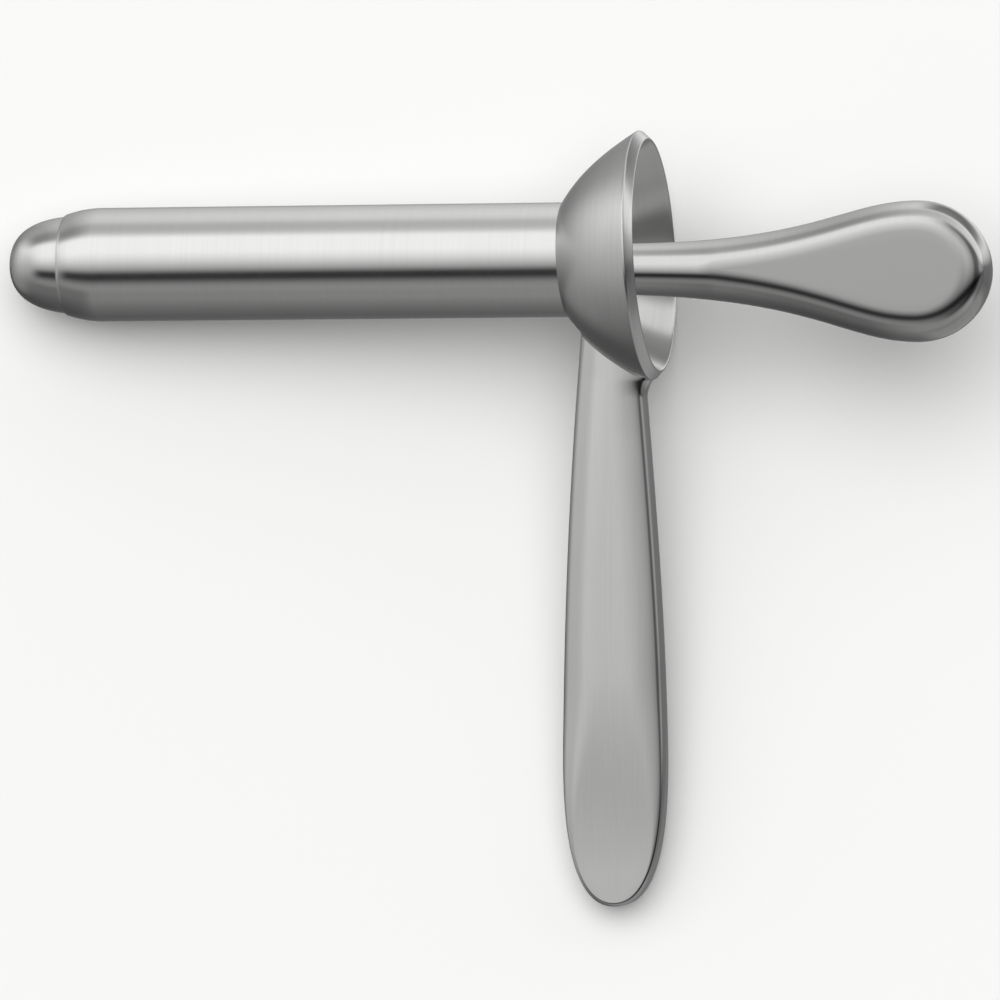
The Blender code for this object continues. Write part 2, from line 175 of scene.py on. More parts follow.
# Silver braze, run in by capillary and dressed back with the steel round it: duller than both.
DRESSED_BRAZE = Steel(
    name="dressed_silver_braze", tint="#CBCAC7", shade="#C5C4C1", smooth=0.36, rough=0.42,
    grain=Grain.FINE_POLISH, spacing_mm=0.60, length_mm=2.0, relief_mm=0.0003, cloud_mm=4.0,
)


def linear(code: str) -> tuple[float, float, float, float]:
    """Turn an sRGB hex value to a linear colour.

    Args:
        code: Such as "#CCCCCA".

    Returns:
        Red, green, blue and an alpha of 1.
    """
    values = []
    for start in (1, 3, 5):
        value = int(code[start : start + 2], 16) / 255
        values.append(value / 12.92 if value <= 0.04045 else ((value + 0.055) / 1.055) ** 2.4)
    return (values[0], values[1], values[2], 1.0)


def add_node(
    tree: bpy.types.NodeTree,
    kind: str,
    settings: dict[str | int, Any],
    links: dict[str | int, bpy.types.NodeSocket],
) -> bpy.types.Node:
    """Add a node with its settings and links.

    Args:
        tree: Node tree that gets it.
        kind: Blender's name for the kind of node.
        settings: Properties of the node by name, or input values by socket name or number.
        links: Outputs of other nodes, by the name or number of the input that they feed.

    Returns:
        The new node.
    """
    node = tree.nodes.new(kind)
    for key, value in settings.items():
        if isinstance(key, str) and hasattr(node, key):
            setattr(node, key, value)
        else:
            node.inputs[key].default_value = value
    for key, output in links.items():
        tree.links.new(output, node.inputs[key])
    return node


@dataclass(frozen=True)
class Layout:
    """Where the instrument's own axes lie in the frame.

    Attributes:
        sheath: Carries a point from the sheath's axes into the frame's.
        cup: Carries a point from the cup's axes, which lean a little, into the frame's.
        obturator: Carries a point from the obturator's axes, which droop a little, into the
            frame's.
        HANDLE_MOUNT: Where the record's mount on the handle lies in the sheath's axes.
        CUP_STATION: Where the cup's base sits along the tube.
        CUP_LEAN: How far the cup leans, with its lower rim forwards.
        OBTURATOR_DROOP: How far the obturator's grip hangs towards the handle.
    """

    sheath: Matrix
    cup: Matrix
    obturator: Matrix

    HANDLE_MOUNT = (0.1080, -0.00415, -0.0800)
    CUP_STATION = 0.0989
    CUP_LEAN = math.radians(2.5)
    OBTURATOR_DROOP = math.radians(1.0)

    @classmethod
    def from_record(cls, record: dict[str, Any]) -> "Layout":
        """Work out the axes from the slide and the mount on the handle.

        Args:
            record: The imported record.

        Returns:
            The layout.
        """
        mount = next(mount for mount in record["mounts"] if mount["name"] == "handle_face")
        along = Vector(record["behaviour"]["joints"][0]["axis"]).normalized()
        up = Vector(mount["axis"])
        square = -(up - along * up.dot(along)).normalized()
        away = along.cross(square)
        turn = Matrix((along, square, away)).transposed()
        origin = Vector(mount["pos_m"]) - turn @ Vector(cls.HANDLE_MOUNT)
        sheath = Matrix.Translation(origin) @ turn.to_4x4()
        base = Matrix.Translation((cls.CUP_STATION, 0.0, 0.0))
        seat = base @ Matrix.Rotation(-cls.CUP_LEAN, 4, "Y")
        return cls(sheath, sheath @ seat, sheath @ Matrix.Rotation(cls.OBTURATOR_DROOP, 4, "Y"))

    def direction(self, x: float, y: float, z: float) -> Vector:
        """Turn a direction in the sheath's axes into the frame's."""
        return (self.sheath.to_3x3() @ Vector((x, y, z))).normalized()


class Finisher:
    """Makes the materials, each from one finish, with its pattern set in the sheath's axes."""

    MARK_NOISE = {"Scale": 1.0, "Detail": 3.0, "Roughness": 0.55}
    PATCH_NOISE = {"Detail": 2.0, "Roughness": 0.5}
    MARK_SHARE = 0.6
    PATCH_SHARE = 0.4
    WEAR_LOW = 0.3
    WEAR_HIGH = 0.7

    def __init__(self, layout: Layout) -> None:
        """Keep the layout that the patterns follow."""
        self.into_sheath = layout.sheath.inverted()

    def pattern_scale(self, steel: Steel) -> tuple[float, float, float]:
        """Work out how fine the marks of a finish are.

        Args:
            steel: The finish.

        Returns:
            How many marks go into a metre, along x, y and z.
        """
        fine = 1 / (steel.spacing_mm * MM)
        long = 1 / (steel.length_mm * MM)
        if steel.grain is Grain.ROUND:
            return (fine, long, long)
        if steel.grain is Grain.ALONG_TUBE:
            return (long, fine, fine)
        if steel.grain is Grain.ALONG_HANDLE:
            return (fine, fine, long)
        return (fine, fine, fine)

    def material(self, steel: Steel) -> bpy.types.Material:
        """Make the material of a finish.

        Args:
            steel: The finish.

        Returns:
            A metal whose colour, roughness and relief all follow the same marks.
        """
        material = bpy.data.materials.new(steel.name)
        material.use_nodes = True
        tree = material.node_tree
        shader = tree.nodes["Principled BSDF"]
        place = add_node(tree, "ShaderNodeTexCoord", {}, {})
        turn = {
            "vector_type": "POINT",
            "Location": self.into_sheath.to_translation(),
            "Rotation": self.into_sheath.to_euler("XYZ"),
        }
        axes = add_node(tree, "ShaderNodeMapping", turn, {"Vector": place.outputs["Object"]})
        axes = axes.outputs["Vector"]
        stretch = {"operation": "MULTIPLY", 1: self.pattern_scale(steel)}
        grain = add_node(tree, "ShaderNodeVectorMath", stretch, {0: axes}).outputs["Vector"]
        marks = add_node(tree, "ShaderNodeTexNoise", self.MARK_NOISE, {"Vector": grain})
        marks = marks.outputs["Fac"]
        wear = self.wear(tree, steel, axes, marks)
        colours = {
            "data_type": "RGBA",
            MIX_COLOUR_A: linear(steel.shade),
            MIX_COLOUR_B: linear(steel.tint),
        }
        tint = add_node(tree, "ShaderNodeMix", colours, {MIX_FACTOR: wear})
        tint = tint.outputs[MIX_COLOUR_RESULT]
        reach = {"To Min": steel.rough, "To Max": steel.smooth}
        gloss = add_node(tree, "ShaderNodeMapRange", reach, {"Value": wear}).outputs["Result"]
        # The grip's flats get a rougher finish and a darker colour, which is painted shade.
        if steel.flat_painted_shade_tint:
            tint, gloss = self.with_flats(tree, steel, axes, (tint, gloss))
        depth = {"Strength": 1.0, "Distance": steel.relief_mm * MM}
        relief = add_node(tree, "ShaderNodeBump", depth, {"Height": marks})
        shader.inputs["Metallic"].default_value = 1.0
        tree.links.new(tint, shader.inputs["Base Color"])
        tree.links.new(gloss, shader.inputs["Roughness"])
        tree.links.new(relief.outputs["Normal"], shader.inputs["Normal"])
        return material

    def wear(
        self,
        tree: bpy.types.NodeTree,
        steel: Steel,
        axes: bpy.types.NodeSocket,
        marks: bpy.types.NodeSocket,
    ) -> bpy.types.NodeSocket:
        """Add the wear of a finish: its marks, strewn over the soft patches of hand work.

        Args:
            tree: The material's node tree.
            steel: The finish.
            axes: Place in the sheath's axes.
            marks: The pattern of its marks.

        Returns:
            The wear, from 0 where it is dullest to 1 where it is brightest.
        """
        cloud = {"Scale": 1 / (steel.cloud_mm * MM), **self.PATCH_NOISE}
        patches = add_node(tree, "ShaderNodeTexNoise", cloud, {"Vector": axes}).outputs["Fac"]
        part = {"operation": "MULTIPLY", 1: self.MARK_SHARE}
        part = add_node(tree, "ShaderNodeMath", part, {0: marks}).outputs["Value"]
        rest = {"operation": "MULTIPLY_ADD", 1: self.PATCH_SHARE}
        both = add_node(tree, "ShaderNodeMath", rest, {0: patches, 2: part}).outputs["Value"]
        reach = {"From Min": self.WEAR_LOW, "From Max": self.WEAR_HIGH}
        return add_node(tree, "ShaderNodeMapRange", reach, {"Value": both}).outputs["Result"]

    def with_flats(
        self,
        tree: bpy.types.NodeTree,
        steel: Steel,
        axes: bpy.types.NodeSocket,
        look: tuple[bpy.types.NodeSocket, bpy.types.NodeSocket],
    ) -> tuple[bpy.types.NodeSocket, bpy.types.NodeSocket]:
        """Add the look of the ground flats, by height above the middle plane: rougher steel with a
        darker colour that is painted shade.

        Args:
            tree: The material's node tree.
            steel: The finish.
            axes: Place in the sheath's axes.
            look: Colour and roughness of the rest.

        Returns:
            Colour and roughness of the whole.
        """
        tint, gloss = look
        parts = add_node(tree, "ShaderNodeSeparateXYZ", {}, {"Vector": axes})
        up_or_down = {0: parts.outputs["Y"]}
        height = add_node(tree, "ShaderNodeMath", {"operation": "ABSOLUTE"}, up_or_down)
        zone = {
            "interpolation_type": "SMOOTHSTEP",
            "From Min": steel.flat_from_mm * MM,
            "From Max": steel.flat_full_mm * MM,
        }
        flat = add_node(tree, "ShaderNodeMapRange", zone, {"Value": height.outputs["Value"]})
        flat = flat.outputs["Result"]
        # This darker colour on the flats is painted shade; their roughness is the finish's.
        duller = {"data_type": "RGBA", MIX_COLOUR_B: linear(steel.flat_painted_shade_tint)}
        tint = add_node(tree, "ShaderNodeMix", duller, {MIX_FACTOR: flat, MIX_COLOUR_A: tint})
        softer = {"data_type": "FLOAT", MIX_FLOAT_B: steel.flat_rough}
        gloss = add_node(tree, "ShaderNodeMix", softer, {MIX_FACTOR: flat, MIX_FLOAT_A: gloss})
        return tint.outputs[MIX_COLOUR_RESULT], gloss.outputs[MIX_FLOAT_RESULT]


# Shapes


def eased(share: float) -> float:
    """Return a share, kept from 0 to 1 and eased at both ends."""
    share = min(1.0, max(0.0, share))
    return share * share * (3 - 2 * share)


def placed_object(
    name: str, shape: BMesh, place: Matrix, material: bpy.types.Material
) -> bpy.types.Object:
    """Turn a finished shape into an object whose place is in its mesh.

    Args:
        name: Name of the piece.
        shape: The shape, which is used up.
        place: Carries the shape into the frame's axes.
        material: Its finish.

    Returns:
        The piece, at the origin.
    """
    bmesh.ops.transform(shape, matrix=place, verts=shape.verts)
    mesh = bpy.data.meshes.new(name)
    shape.to_mesh(mesh)
    shape.free()
    mesh.shade_smooth()
    mesh.set_sharp_from_angle(angle=SHARP_ANGLE)
    mesh.materials.append(material)
    piece = bpy.data.objects.new(name, mesh)
    bpy.context.scene.collection.objects.link(piece)
    return piece


def turned(profile: list[Point], closed: bool, steps: int) -> BMesh:
    """Turn a profile round the x axis.

    Args:
        profile: Points of (radius, station).
        closed: Whether the profile is a closed ring, as on a tube.
        steps: Facets round the axis.

    Returns:
        A closed shape whose faces point outwards.
    """
    shape = bmesh.new()
    points = [shape.verts.new((station, 0.0, radius)) for radius, station in profile]
    edges = [shape.edges.new(pair) for pair in zip(points, points[1:])]
    if closed:
        edges.append(shape.edges.new((points[-1], points[0])))
    bmesh.ops.spin(
        shape,
        geom=points + edges,
        cent=(0.0, 0.0, 0.0),
        axis=(1.0, 0.0, 0.0),
        angle=FULL_TURN,
        steps=steps,
        use_merge=True,
    )
    bmesh.ops.remove_doubles(shape, verts=shape.verts, dist=MERGE)
    bmesh.ops.recalc_face_normals(shape, faces=shape.faces)
    return shape


def grown_loop(shape: BMesh, loop: list[BMVert], ring: list[Vector]) -> list[BMVert]:
    """Extrude a loop of vertices on to a ring of points.

    Args:
        shape: The shape that grows.
        loop: The loop, in order.
        ring: As many points.

    Returns:
        The new loop, in the same order.
    """
    edges = [shape.edges.get((loop[index - 1], loop[index])) for index in range(len(loop))]
    made = bmesh.ops.extrude_edge_only(shape, edges=edges)["geom"]
    fresh = {item for item in made if isinstance(item, BMVert)}
    grown = []
    for vertex, point in zip(loop, ring):
        sides = [edge.other_vert(vertex) for edge in vertex.link_edges]
        new = next(other for other in sides if other in fresh)
        new.co = point
        grown.append(new)
    return grown


def skinned(rings: list[list[Vector]], capped: bool) -> BMesh:
    """Skin a row of rings.

    Args:
        rings: Rings of as many points each. A last ring that is folded flat closes itself.
        capped: Whether the first ring gets a face.

    Returns:
        A closed shape whose faces point outwards.
    """
    shape = bmesh.new()
    count = len(rings[0])
    circle = bmesh.ops.create_circle(shape, cap_ends=capped, radius=1.0, segments=count)
    loop = circle["verts"]
    for vertex, point in zip(loop, rings[0]):
        vertex.co = point
    for ring in rings[1:]:
        loop = grown_loop(shape, loop, ring)
    bmesh.ops.remove_doubles(shape, verts=shape.verts, dist=SKIN_MERGE)
    bmesh.ops.recalc_face_normals(shape, faces=shape.faces)
    return shape


def round_sweep(centre: Point, radius: float, first: float, last: float, count: int) -> Section:
    """Return points on a circle from one angle to another, both ends included.

    Args:
        centre: Its (radius, station).
        radius: Its radius.
        first: First angle, from the radius axis towards the station axis.
        last: Last angle.
        count: Steps between them.

    Returns:
        Points of (radius, station).
    """
    points = []
    for step in range(count + 1):
        turn = first + (last - first) * step / count
        points.append((centre[0] + radius * math.cos(turn), centre[1] + radius * math.sin(turn)))
    return points


def tangent_sweep(radius: float, lip_radius: float, length: float, count: int) -> Section:
    """Return a profile that leaves a straight wall and curves in to a lip at station 0.

    Args:
        radius: Radius of the wall.
        lip_radius: Radius of the lip.
        length: Station where the curve starts.
        count: Steps of the curve.

    Returns:
        Points of (radius, station), from the wall to the lip.
    """
    drop = radius - lip_radius
    sweep = (length * length + drop * drop) / (2 * drop)
    points = []
    for step in range(count + 1):
        station = length * (1 - step / count)
        points.append((radius - sweep + math.sqrt(sweep**2 - (length - station) ** 2), station))
    return points


@dataclass(frozen=True)
class EdgeSection:
    """Half section of a plate's edge, from its outermost line up to its face.

    Attributes:
        edge_round: Radius of the edge itself.
        shoulder_round: Radius of the shoulder between the edge and the face.
        shoulder_turn: How far the shoulder turns.
        steps: Facets of each of the two.
    """

    edge_round: float
    shoulder_round: float
    shoulder_turn: float
    steps: int = 10

    def points(self) -> Section:
        """Work out the section.

        Returns:
            Points of (inset, height), from the outermost line to the face.
        """
        turn = math.pi / 2 - self.shoulder_turn
        points = []
        for step in range(self.steps + 1):
            angle = turn * step / self.steps
            further = self.edge_round * (1 - math.cos(angle))
            points.append((further, self.edge_round * math.sin(angle)))
        inset, height = points[-1]
        for step in range(1, self.steps + 1):
            angle = turn + self.shoulder_turn * step / self.steps
            further = self.shoulder_round * (math.cos(turn) - math.cos(angle))
            higher = self.shoulder_round * (math.sin(angle) - math.sin(turn))
            points.append((inset + further, height + higher))
        return points


def knot(along: float, out: float, slope: float, behind: float, ahead: float) -> Knot:
    """Return one point on the side of a plate, with its two handles.

    Args:
        along: Distance along the plate.
        out: Distance out from its middle line.
        slope: How fast the side moves out there.
        behind: Reach of the handle towards the root.
        ahead: Reach of the handle towards the tip.

    Returns:
        The point and its handles.
    """
    point = Vector((along, out))
    way = Vector((1.0, slope))
    return (point, point - way * behind, point + way * ahead)


def tip_knot(along: float, across: float) -> Knot:
    """Return the tip of a plate, which its side meets squarely, with a handle of length across."""
    point = Vector((along, 0.0))
    return (point, point + Vector((0.0, across)), point)


def side_points(
    knots: list[Knot], steps: tuple[int, ...], straight: int
) -> list[tuple[Vector, Vector]]:
    """Return points down one side of a plate, from its root to its tip, and the way in at each.

    Args:
        knots: The side's knots.
        steps: Points between each two knots.
        straight: For how many stretches the way in is straight across the plate.

    Returns:
        Pairs of (distance along, distance out) and the way in.
    """
    places = [knots[0][0]]
    for (start, _, leaving), (end, arriving, _), count in zip(knots, knots[1:], steps):
        places += interpolate_bezier(start, leaving, arriving, end, count + 1)[1:]
    points = []
    for index, place in enumerate(places[:-1]):
        way = places[index + 1] - places[max(index - 1, 0)]
        if index <= sum(steps[:straight]):
            way = Vector((1.0, 0.0))
        points.append((place, Vector((way.y, -way.x)).normalized()))
    points.append((places[-1], Vector((-1.0, 0.0))))
    return points


def fitted(
    points: list[tuple[Vector, Vector]], insets: list[float], keep_height: bool
) -> list[Edge]:
    """Fit a section to each point of a side, so that it stops at the plate's middle line.

    Args:
        points: Points of the side, as side_points gives them.
        insets: How far in the section reaches at each of them.
        keep_height: Whether the plate keeps its thickness where it gets slimmer than its edges.

    Returns:
        Each point with its way in and how much of the section's inset and height it takes.
    """
    fit = 1.0
    edges = []
    for (place, inward), inset in zip(points, insets):
        if place.y > MERGE:
            fit = min(1.0, place.y / -inward.y / inset)
        edges.append((place, inward, fit, 1.0 if keep_height else fit))
    return edges


def half_ring(edge: Edge, section: Section, side: float) -> list[Vector]:
    """Return one side of a ring round a plate, from its upper face to its lower one.

    Args:
        edge: One point of the side, as fitted gives it.
        section: The edge's section.
        side: 1 or -1, for the side of the middle line.

    Returns:
        Points of (distance along, height, distance out).
    """
    place, inward, inset_fit, height_fit = edge
    upper = []
    for inset, height in reversed(section):
        spot = place + inward * (inset * inset_fit)
        upper.append(Vector((spot.x, -height * height_fit, side * spot.y)))
    return upper + [Vector((point.x, -point.y, point.z)) for point in reversed(upper[:-1])]


def plate_ring(right: Edge, left: Edge, section: Section, across: int) -> list[Vector]:
    """Return a closed ring round a plate.

    Args:
        right: Edge at the one side.
        left: Edge at the other.
        section: The edges' section.
        across: Facets across each face.

    Returns:
        Points of (distance along, height, distance out).
    """
    near = half_ring(right, section, 1.0)
    far = half_ring(left, section, -1.0)
    far.reverse()
    shares = [step / across for step in range(1, across)]
    lower = [near[-1].lerp(far[0], share) for share in shares]
    upper = [far[-1].lerp(near[0], share) for share in shares]
    return near + lower + far + upper


def without(shape: BMesh, cutter: BMesh) -> BMesh:
    """Take the cutter's space out of a shape.

    Args:
        shape: The shape, which is used up.
        cutter: The space, which is used up.

    Returns:
        What is left, with doubles merged and faces pointing outwards.
    """
    things = []
    for name, body in (("shape", shape), ("cutter", cutter)):
        mesh = bpy.data.meshes.new(name)
        body.to_mesh(mesh)
        body.free()
        thing = bpy.data.objects.new(name, mesh)
        bpy.context.scene.collection.objects.link(thing)
        things.append(thing)
    boolean = things[0].modifiers.new("cut", "BOOLEAN")
    boolean.operation = "DIFFERENCE"
    boolean.object = things[1]
    boolean.solver = "EXACT"
    bpy.context.view_layer.update()
    evaluated = things[0].evaluated_get(bpy.context.evaluated_depsgraph_get())
    left = bmesh.new()
    left.from_mesh(evaluated.to_mesh())
    evaluated.to_mesh_clear()
    for thing in things:
        bpy.data.objects.remove(thing, do_unlink=True)
    bmesh.ops.remove_doubles(left, verts=left.verts, dist=MERGE)
    bmesh.ops.recalc_face_normals(left, faces=left.faces)
    return left


# Sub-assemblies


@dataclass
class Cup:
    """The spun cup: a hole for the tube, a flaring wall and a thick rim with a broad bevel.

    Attributes:
        tube_radius: Radius of the hole, which is the tube's.
        depth: Station of the mouth's plane, from which the handle's root is set out.
        wall: Thickness of the wall.
        base_flare: How far the side leans outwards where it leaves the tube.
        rim_flare: The same where it meets the rim.
        fullness: How far the side keeps to these two ways before it bends.
        rim_radius: Radius of the mouth's plane, from which the handle's root is set out.
        edge_radius: Radius at which the outer side meets the rim's bevel.
        edge_station: Its station.
        rim_face: Width of the bevel.
        rim_tilt: How far the bevel is turned from facing along the tube to facing outwards.
        rim_round: Radius of the bevel's two edges.
        facets: Facets round the cup.
        side_steps: Facets of each side.
        rim_steps: Facets of each of the bevel's edges.
        overrun: How far the space for cutting the handle goes on past the cup and tube.
    """

    tube_radius: float = 0.0110
    depth: float = 0.0169
    wall: float = 0.0018
    base_flare: float = math.radians(57)
    rim_flare: float = math.radians(29)
    fullness: float = 0.34
    rim_radius: float = 0.0240
    edge_radius: float = 0.02385
    edge_station: float = 0.01525
    rim_face: float = 0.0018
    rim_tilt: float = math.radians(45)
    rim_round: float = 0.0004
    facets: int = 192
    side_steps: int = 36
    rim_steps: int = 8
    overrun: float = 0.0250

    def side(self, start: Point, end: Point) -> Section:
        """Work out a flaring side.

        Args:
            start: Its (radius, station) at the base.
            end: The same at the rim.

        Returns:
            Points of (radius, station) after start, up to end.
        """
        first = Vector(start)
        last = Vector(end)
        pull = (last - first).length * self.fullness
        leaving = first + pull * Vector((math.sin(self.base_flare), math.cos(self.base_flare)))
        arriving = last - pull * Vector((math.sin(self.rim_flare), math.cos(self.rim_flare)))
        points = interpolate_bezier(first, leaving, arriving, last, self.side_steps + 1)
        return [tuple(point) for point in points[1:]]

    def outer_side(self) -> Section:
        """Work out the outer side.

        Returns:
            Points of (radius, station), from the rim's round down to the base on the tube.
        """
        base = (self.tube_radius, 0.0)
        points = [base] + self.side(base, (self.edge_radius, self.edge_station))
        points.reverse()
        return points

    def mouth_station(self) -> float:
        """Return the station where the inner side meets the tube."""
        return self.wall / math.sin(self.base_flare)

    def shape(self) -> BMesh:
        """Turn the cup.

        Returns:
            The cup, in its own axes.
        """
        flare = self.rim_flare
        tilt = self.rim_tilt
        edge = Vector((self.edge_radius, self.edge_station))
        outer_centre = edge + Vector((-math.cos(flare), math.sin(flare))) * self.rim_round
        inner_centre = outer_centre + Vector((-math.cos(tilt), math.sin(tilt))) * self.rim_face
        square = math.pi / 2 - tilt
        fine = self.rim_steps
        rim = round_sweep(tuple(inner_centre), self.rim_round, math.pi - flare, square, fine)
        rim += round_sweep(tuple(outer_centre), self.rim_round, square, -flare, fine)
        mouth = (self.tube_radius, self.mouth_station())
        profile = [mouth] + self.side(mouth, rim[0]) + rim[1:-1] + self.outer_side()
        return turned(profile, True, self.facets)

    def space(self) -> BMesh:
        """Turn the space that the cup and the tube's near end take, to fit the handle to.

        Returns:
            The space, in the cup's axes.
        """
        far = self.depth + self.overrun
        profile = [(0.0, far), (self.edge_radius, far)] + self.outer_side()
        profile += [(self.tube_radius, -self.overrun), (0.0, -self.overrun)]
        return turned(profile, False, self.facets)


@dataclass
class Tube:
    """The round tube, its far end rolled in to a feathered lip.

    Attributes:
        outer_radius: Outside radius.
        wall: Thickness of the wall.
        reach: Station of the cup's base, from which the near end is set out.
        lip_length: Over what length the outside rolls in.
        lip_bore_length: The same for the inside.
        lip_bore_radius: Radius of the bore at the lip.
        lip_edge: Radius of the lip's feathered edge.
        facets: Facets round the tube.
        lip_steps: Facets along the rolled outside.
        lip_edge_steps: Facets of the feathered edge.
        run_steps: Facets along the straight outside.
    """

    outer_radius: float = 0.0110
    wall: float = 0.0009
    reach: float = 0.0989
    lip_length: float = 0.0073
    lip_bore_length: float = 0.0032
    lip_bore_radius: float = 0.00955
    lip_edge: float = 0.0002
    facets: int = 192
    lip_steps: int = 24
    lip_edge_steps: int = 6
    run_steps: int = 12

    def shape(self, near_end: float) -> BMesh:
        """Turn the tube.

        Args:
            near_end: Station of its near end.

        Returns:
            The tube, in the sheath's axes.
        """
        bore = self.outer_radius - self.wall
        run = []
        for step in range(self.run_steps):
            station = near_end + (self.lip_length - near_end) * step / self.run_steps
            run.append((self.outer_radius, station))
        lip_radius = self.lip_bore_radius + self.lip_edge
        outer = tangent_sweep(self.outer_radius, lip_radius, self.lip_length, self.lip_steps)[:-1]
        centre = (self.lip_bore_radius, self.lip_edge)
        lip = round_sweep(centre, self.lip_edge, 0.0, -math.pi / 2, self.lip_edge_steps)
        inner = tangent_sweep(bore, self.lip_bore_radius, self.lip_bore_length, self.lip_steps // 2)
        inner.reverse()
        profile = run + outer + lip[:-1] + inner + [(bore, near_end)]
        return turned(profile, True, self.facets)


@dataclass
class Handle:
    """The paddle handle: crowned across, its root cut to a saddle round the cup.

    Towards its end the crown runs out into a flat face with a tighter edge.

    Attributes:
        station: Where its middle line lies along the tube.
        reach: Distance from the tube's axis to its end.
        half_width: Half its width where it is widest.
        widest_at: Distance from the tube's axis to there.
        thickness: Thickness of its crowned length.
        edge_round: Radius of the crowned section's edge.
        shoulder_turn: How far the shoulder between that edge and the face turns.
        root_half_width: Half its width under the cup.
        rim_flare: How much wider it gets where it meets the rim.
        rim_flare_length: Over what length it does.
        root_splay: How fast its sides part below the cup.
        side_ease: How far its sides run on straight from the root and the widest place.
        end_fullness: How far they run on straight from there towards the end.
        end_bluntness: How blunt the end is.
        flat_end_start: Distance from the tube's axis at which the crown begins to run out.
        flat_end_full: The same where it has.
        flat_end_round: Radius of the flat section's edge.
        flat_end_half: Half the flat section's thickness.
        steps: Rings in the buried root, under the rim, down the sides and round the end.
        straight_stretches: How many of those stretches keep their rings square to the handle.
        across: Facets across each face.
    """

    station: float = 0.1080
    reach: float = 0.12382
    half_width: float = 0.01008
    widest_at: float = 0.0930
    thickness: float = 0.0083
    edge_round: float = 0.0031
    shoulder_turn: float = math.radians(30)
    root_half_width: float = 0.0065
    rim_flare: float = 0.0010
    rim_flare_length: float = 0.0034
    root_splay: float = math.radians(4.5)
    side_ease: float = 0.29
    end_fullness: float = 0.8
    end_bluntness: float = 0.53
    flat_end_start: float = 0.0800
    flat_end_full: float = 0.1180
    flat_end_round: float = 0.0008
    flat_end_half: float = 0.0032
    steps: tuple[int, ...] = (10, 12, 44, 40)
    straight_stretches: int = 3
    across: int = 6

    def root_steps(self) -> int:
        """Return how many rings lie above the place where the rim's flare ends."""
        return sum(self.steps[:2])

    def crowned_section(self) -> Section:
        """Work out the section of its edges along most of its length.

        Returns:
            Points of (inset, height).
        """
        straight = math.cos(self.shoulder_turn)
        shoulder = (self.thickness / 2 - self.edge_round * straight) / (1 - straight)
        return EdgeSection(self.edge_round, shoulder, self.shoulder_turn).points()

    def flat_section(self, count: int) -> Section:
        """Work out the section at its end, where the face runs flat out to a small round.

        Args:
            count: How many points it gets.

        Returns:
            Points of (inset, height).
        """
        centre = (self.flat_end_round, self.flat_end_half - self.flat_end_round)
        points = round_sweep(centre, self.flat_end_round, math.pi, math.pi / 2, count - 2)
        return [(0.0, 0.0)] + points

    def section(self, along: float) -> Section:
        """Work out the section of its edges somewhere between the two.

        Args:
            along: Distance from the tube's axis.

        Returns:
            Points of (inset, height).
        """
        crowned = self.crowned_section()
        flat = self.flat_section(len(crowned))
        share = eased((along - self.flat_end_start) / (self.flat_end_full - self.flat_end_start))
        return [tuple(Vector(one).lerp(Vector(other), share)) for one, other in zip(crowned, flat)]

    def sides(self, cup: Cup, lean: float) -> list[list[tuple[Vector, Vector]]]:
        """Work out its two sides.

        Args:
            cup: The cup that its root is set out from.
            lean: How far the cup leans.

        Returns:
            What side_points gives for the side under the rim, and for the one under the tube.
        """
        root = self.root_half_width
        flare = self.rim_flare
        fall = self.rim_flare_length
        short = fall / 3
        splay = math.tan(self.root_splay)
        hidden = cup.tube_radius - self.edge_round
        under_tube = cup.tube_radius + cup.wall + fall
        rim_foot = cup.rim_radius * math.cos(lean) - cup.depth * math.sin(lean)
        under_rim = rim_foot + fall
        swell = (self.widest_at - cup.rim_radius) * self.side_ease
        end_side = (self.reach - self.widest_at) * self.end_fullness
        end = [
            knot(self.widest_at, self.half_width, 0.0, swell, end_side),
            tip_knot(self.reach, self.half_width * self.end_bluntness),
        ]
        rim_side = [
            knot(hidden, root + flare, 0.0, fall, fall),
            knot(rim_foot, root + flare, -2 * flare / fall, short, short),
            knot(under_rim, root, splay, short, swell),
        ]
        tube_side = [
            knot(hidden, root + (hidden - under_tube) * splay, splay, fall, fall),
            knot(rim_foot, root + (rim_foot - under_tube) * splay, splay, short, short),
            knot(under_rim, root + (under_rim - under_tube) * splay, splay, short, swell),
        ]
        straight = self.straight_stretches
        return [side_points(side + end, self.steps, straight) for side in (rim_side, tube_side)]

    def rings(self, cup: Cup, lean: float) -> list[list[Vector]]:
        """Work out the rings that the handle is skinned from.

        The rim's flare widens only the part of a ring that lies outside the plain root, so that
        the section never crosses the handle's middle.

        Args:
            cup: The cup that its root is set out from.
            lean: How far the cup leans.

        Returns:
            Rings from the root to the tip, in the sheath's axes.
        """
        rim_side, tube_side = self.sides(cup, lean)
        sections = [self.section(place.x) for place, _ in rim_side]
        insets = [section[-1][0] for section in sections]
        near_edges = fitted(rim_side, insets, True)
        far_edges = fitted(tube_side, insets, True)
        for index in range(self.root_steps()):
            place, inward, _, height_fit = near_edges[index]
            plain = min(place.y, self.root_half_width)
            reach = min(insets[index], plain) + place.y - plain
            near_edges[index] = (place, inward, reach / insets[index], height_fit)
        rings = []
        for near, far, section in zip(near_edges, far_edges, sections):
            ring = plate_ring(near, far, section, self.across)
            rings.append([Vector((self.station + spot.z, spot.y, -spot.x)) for spot in ring])
        return rings


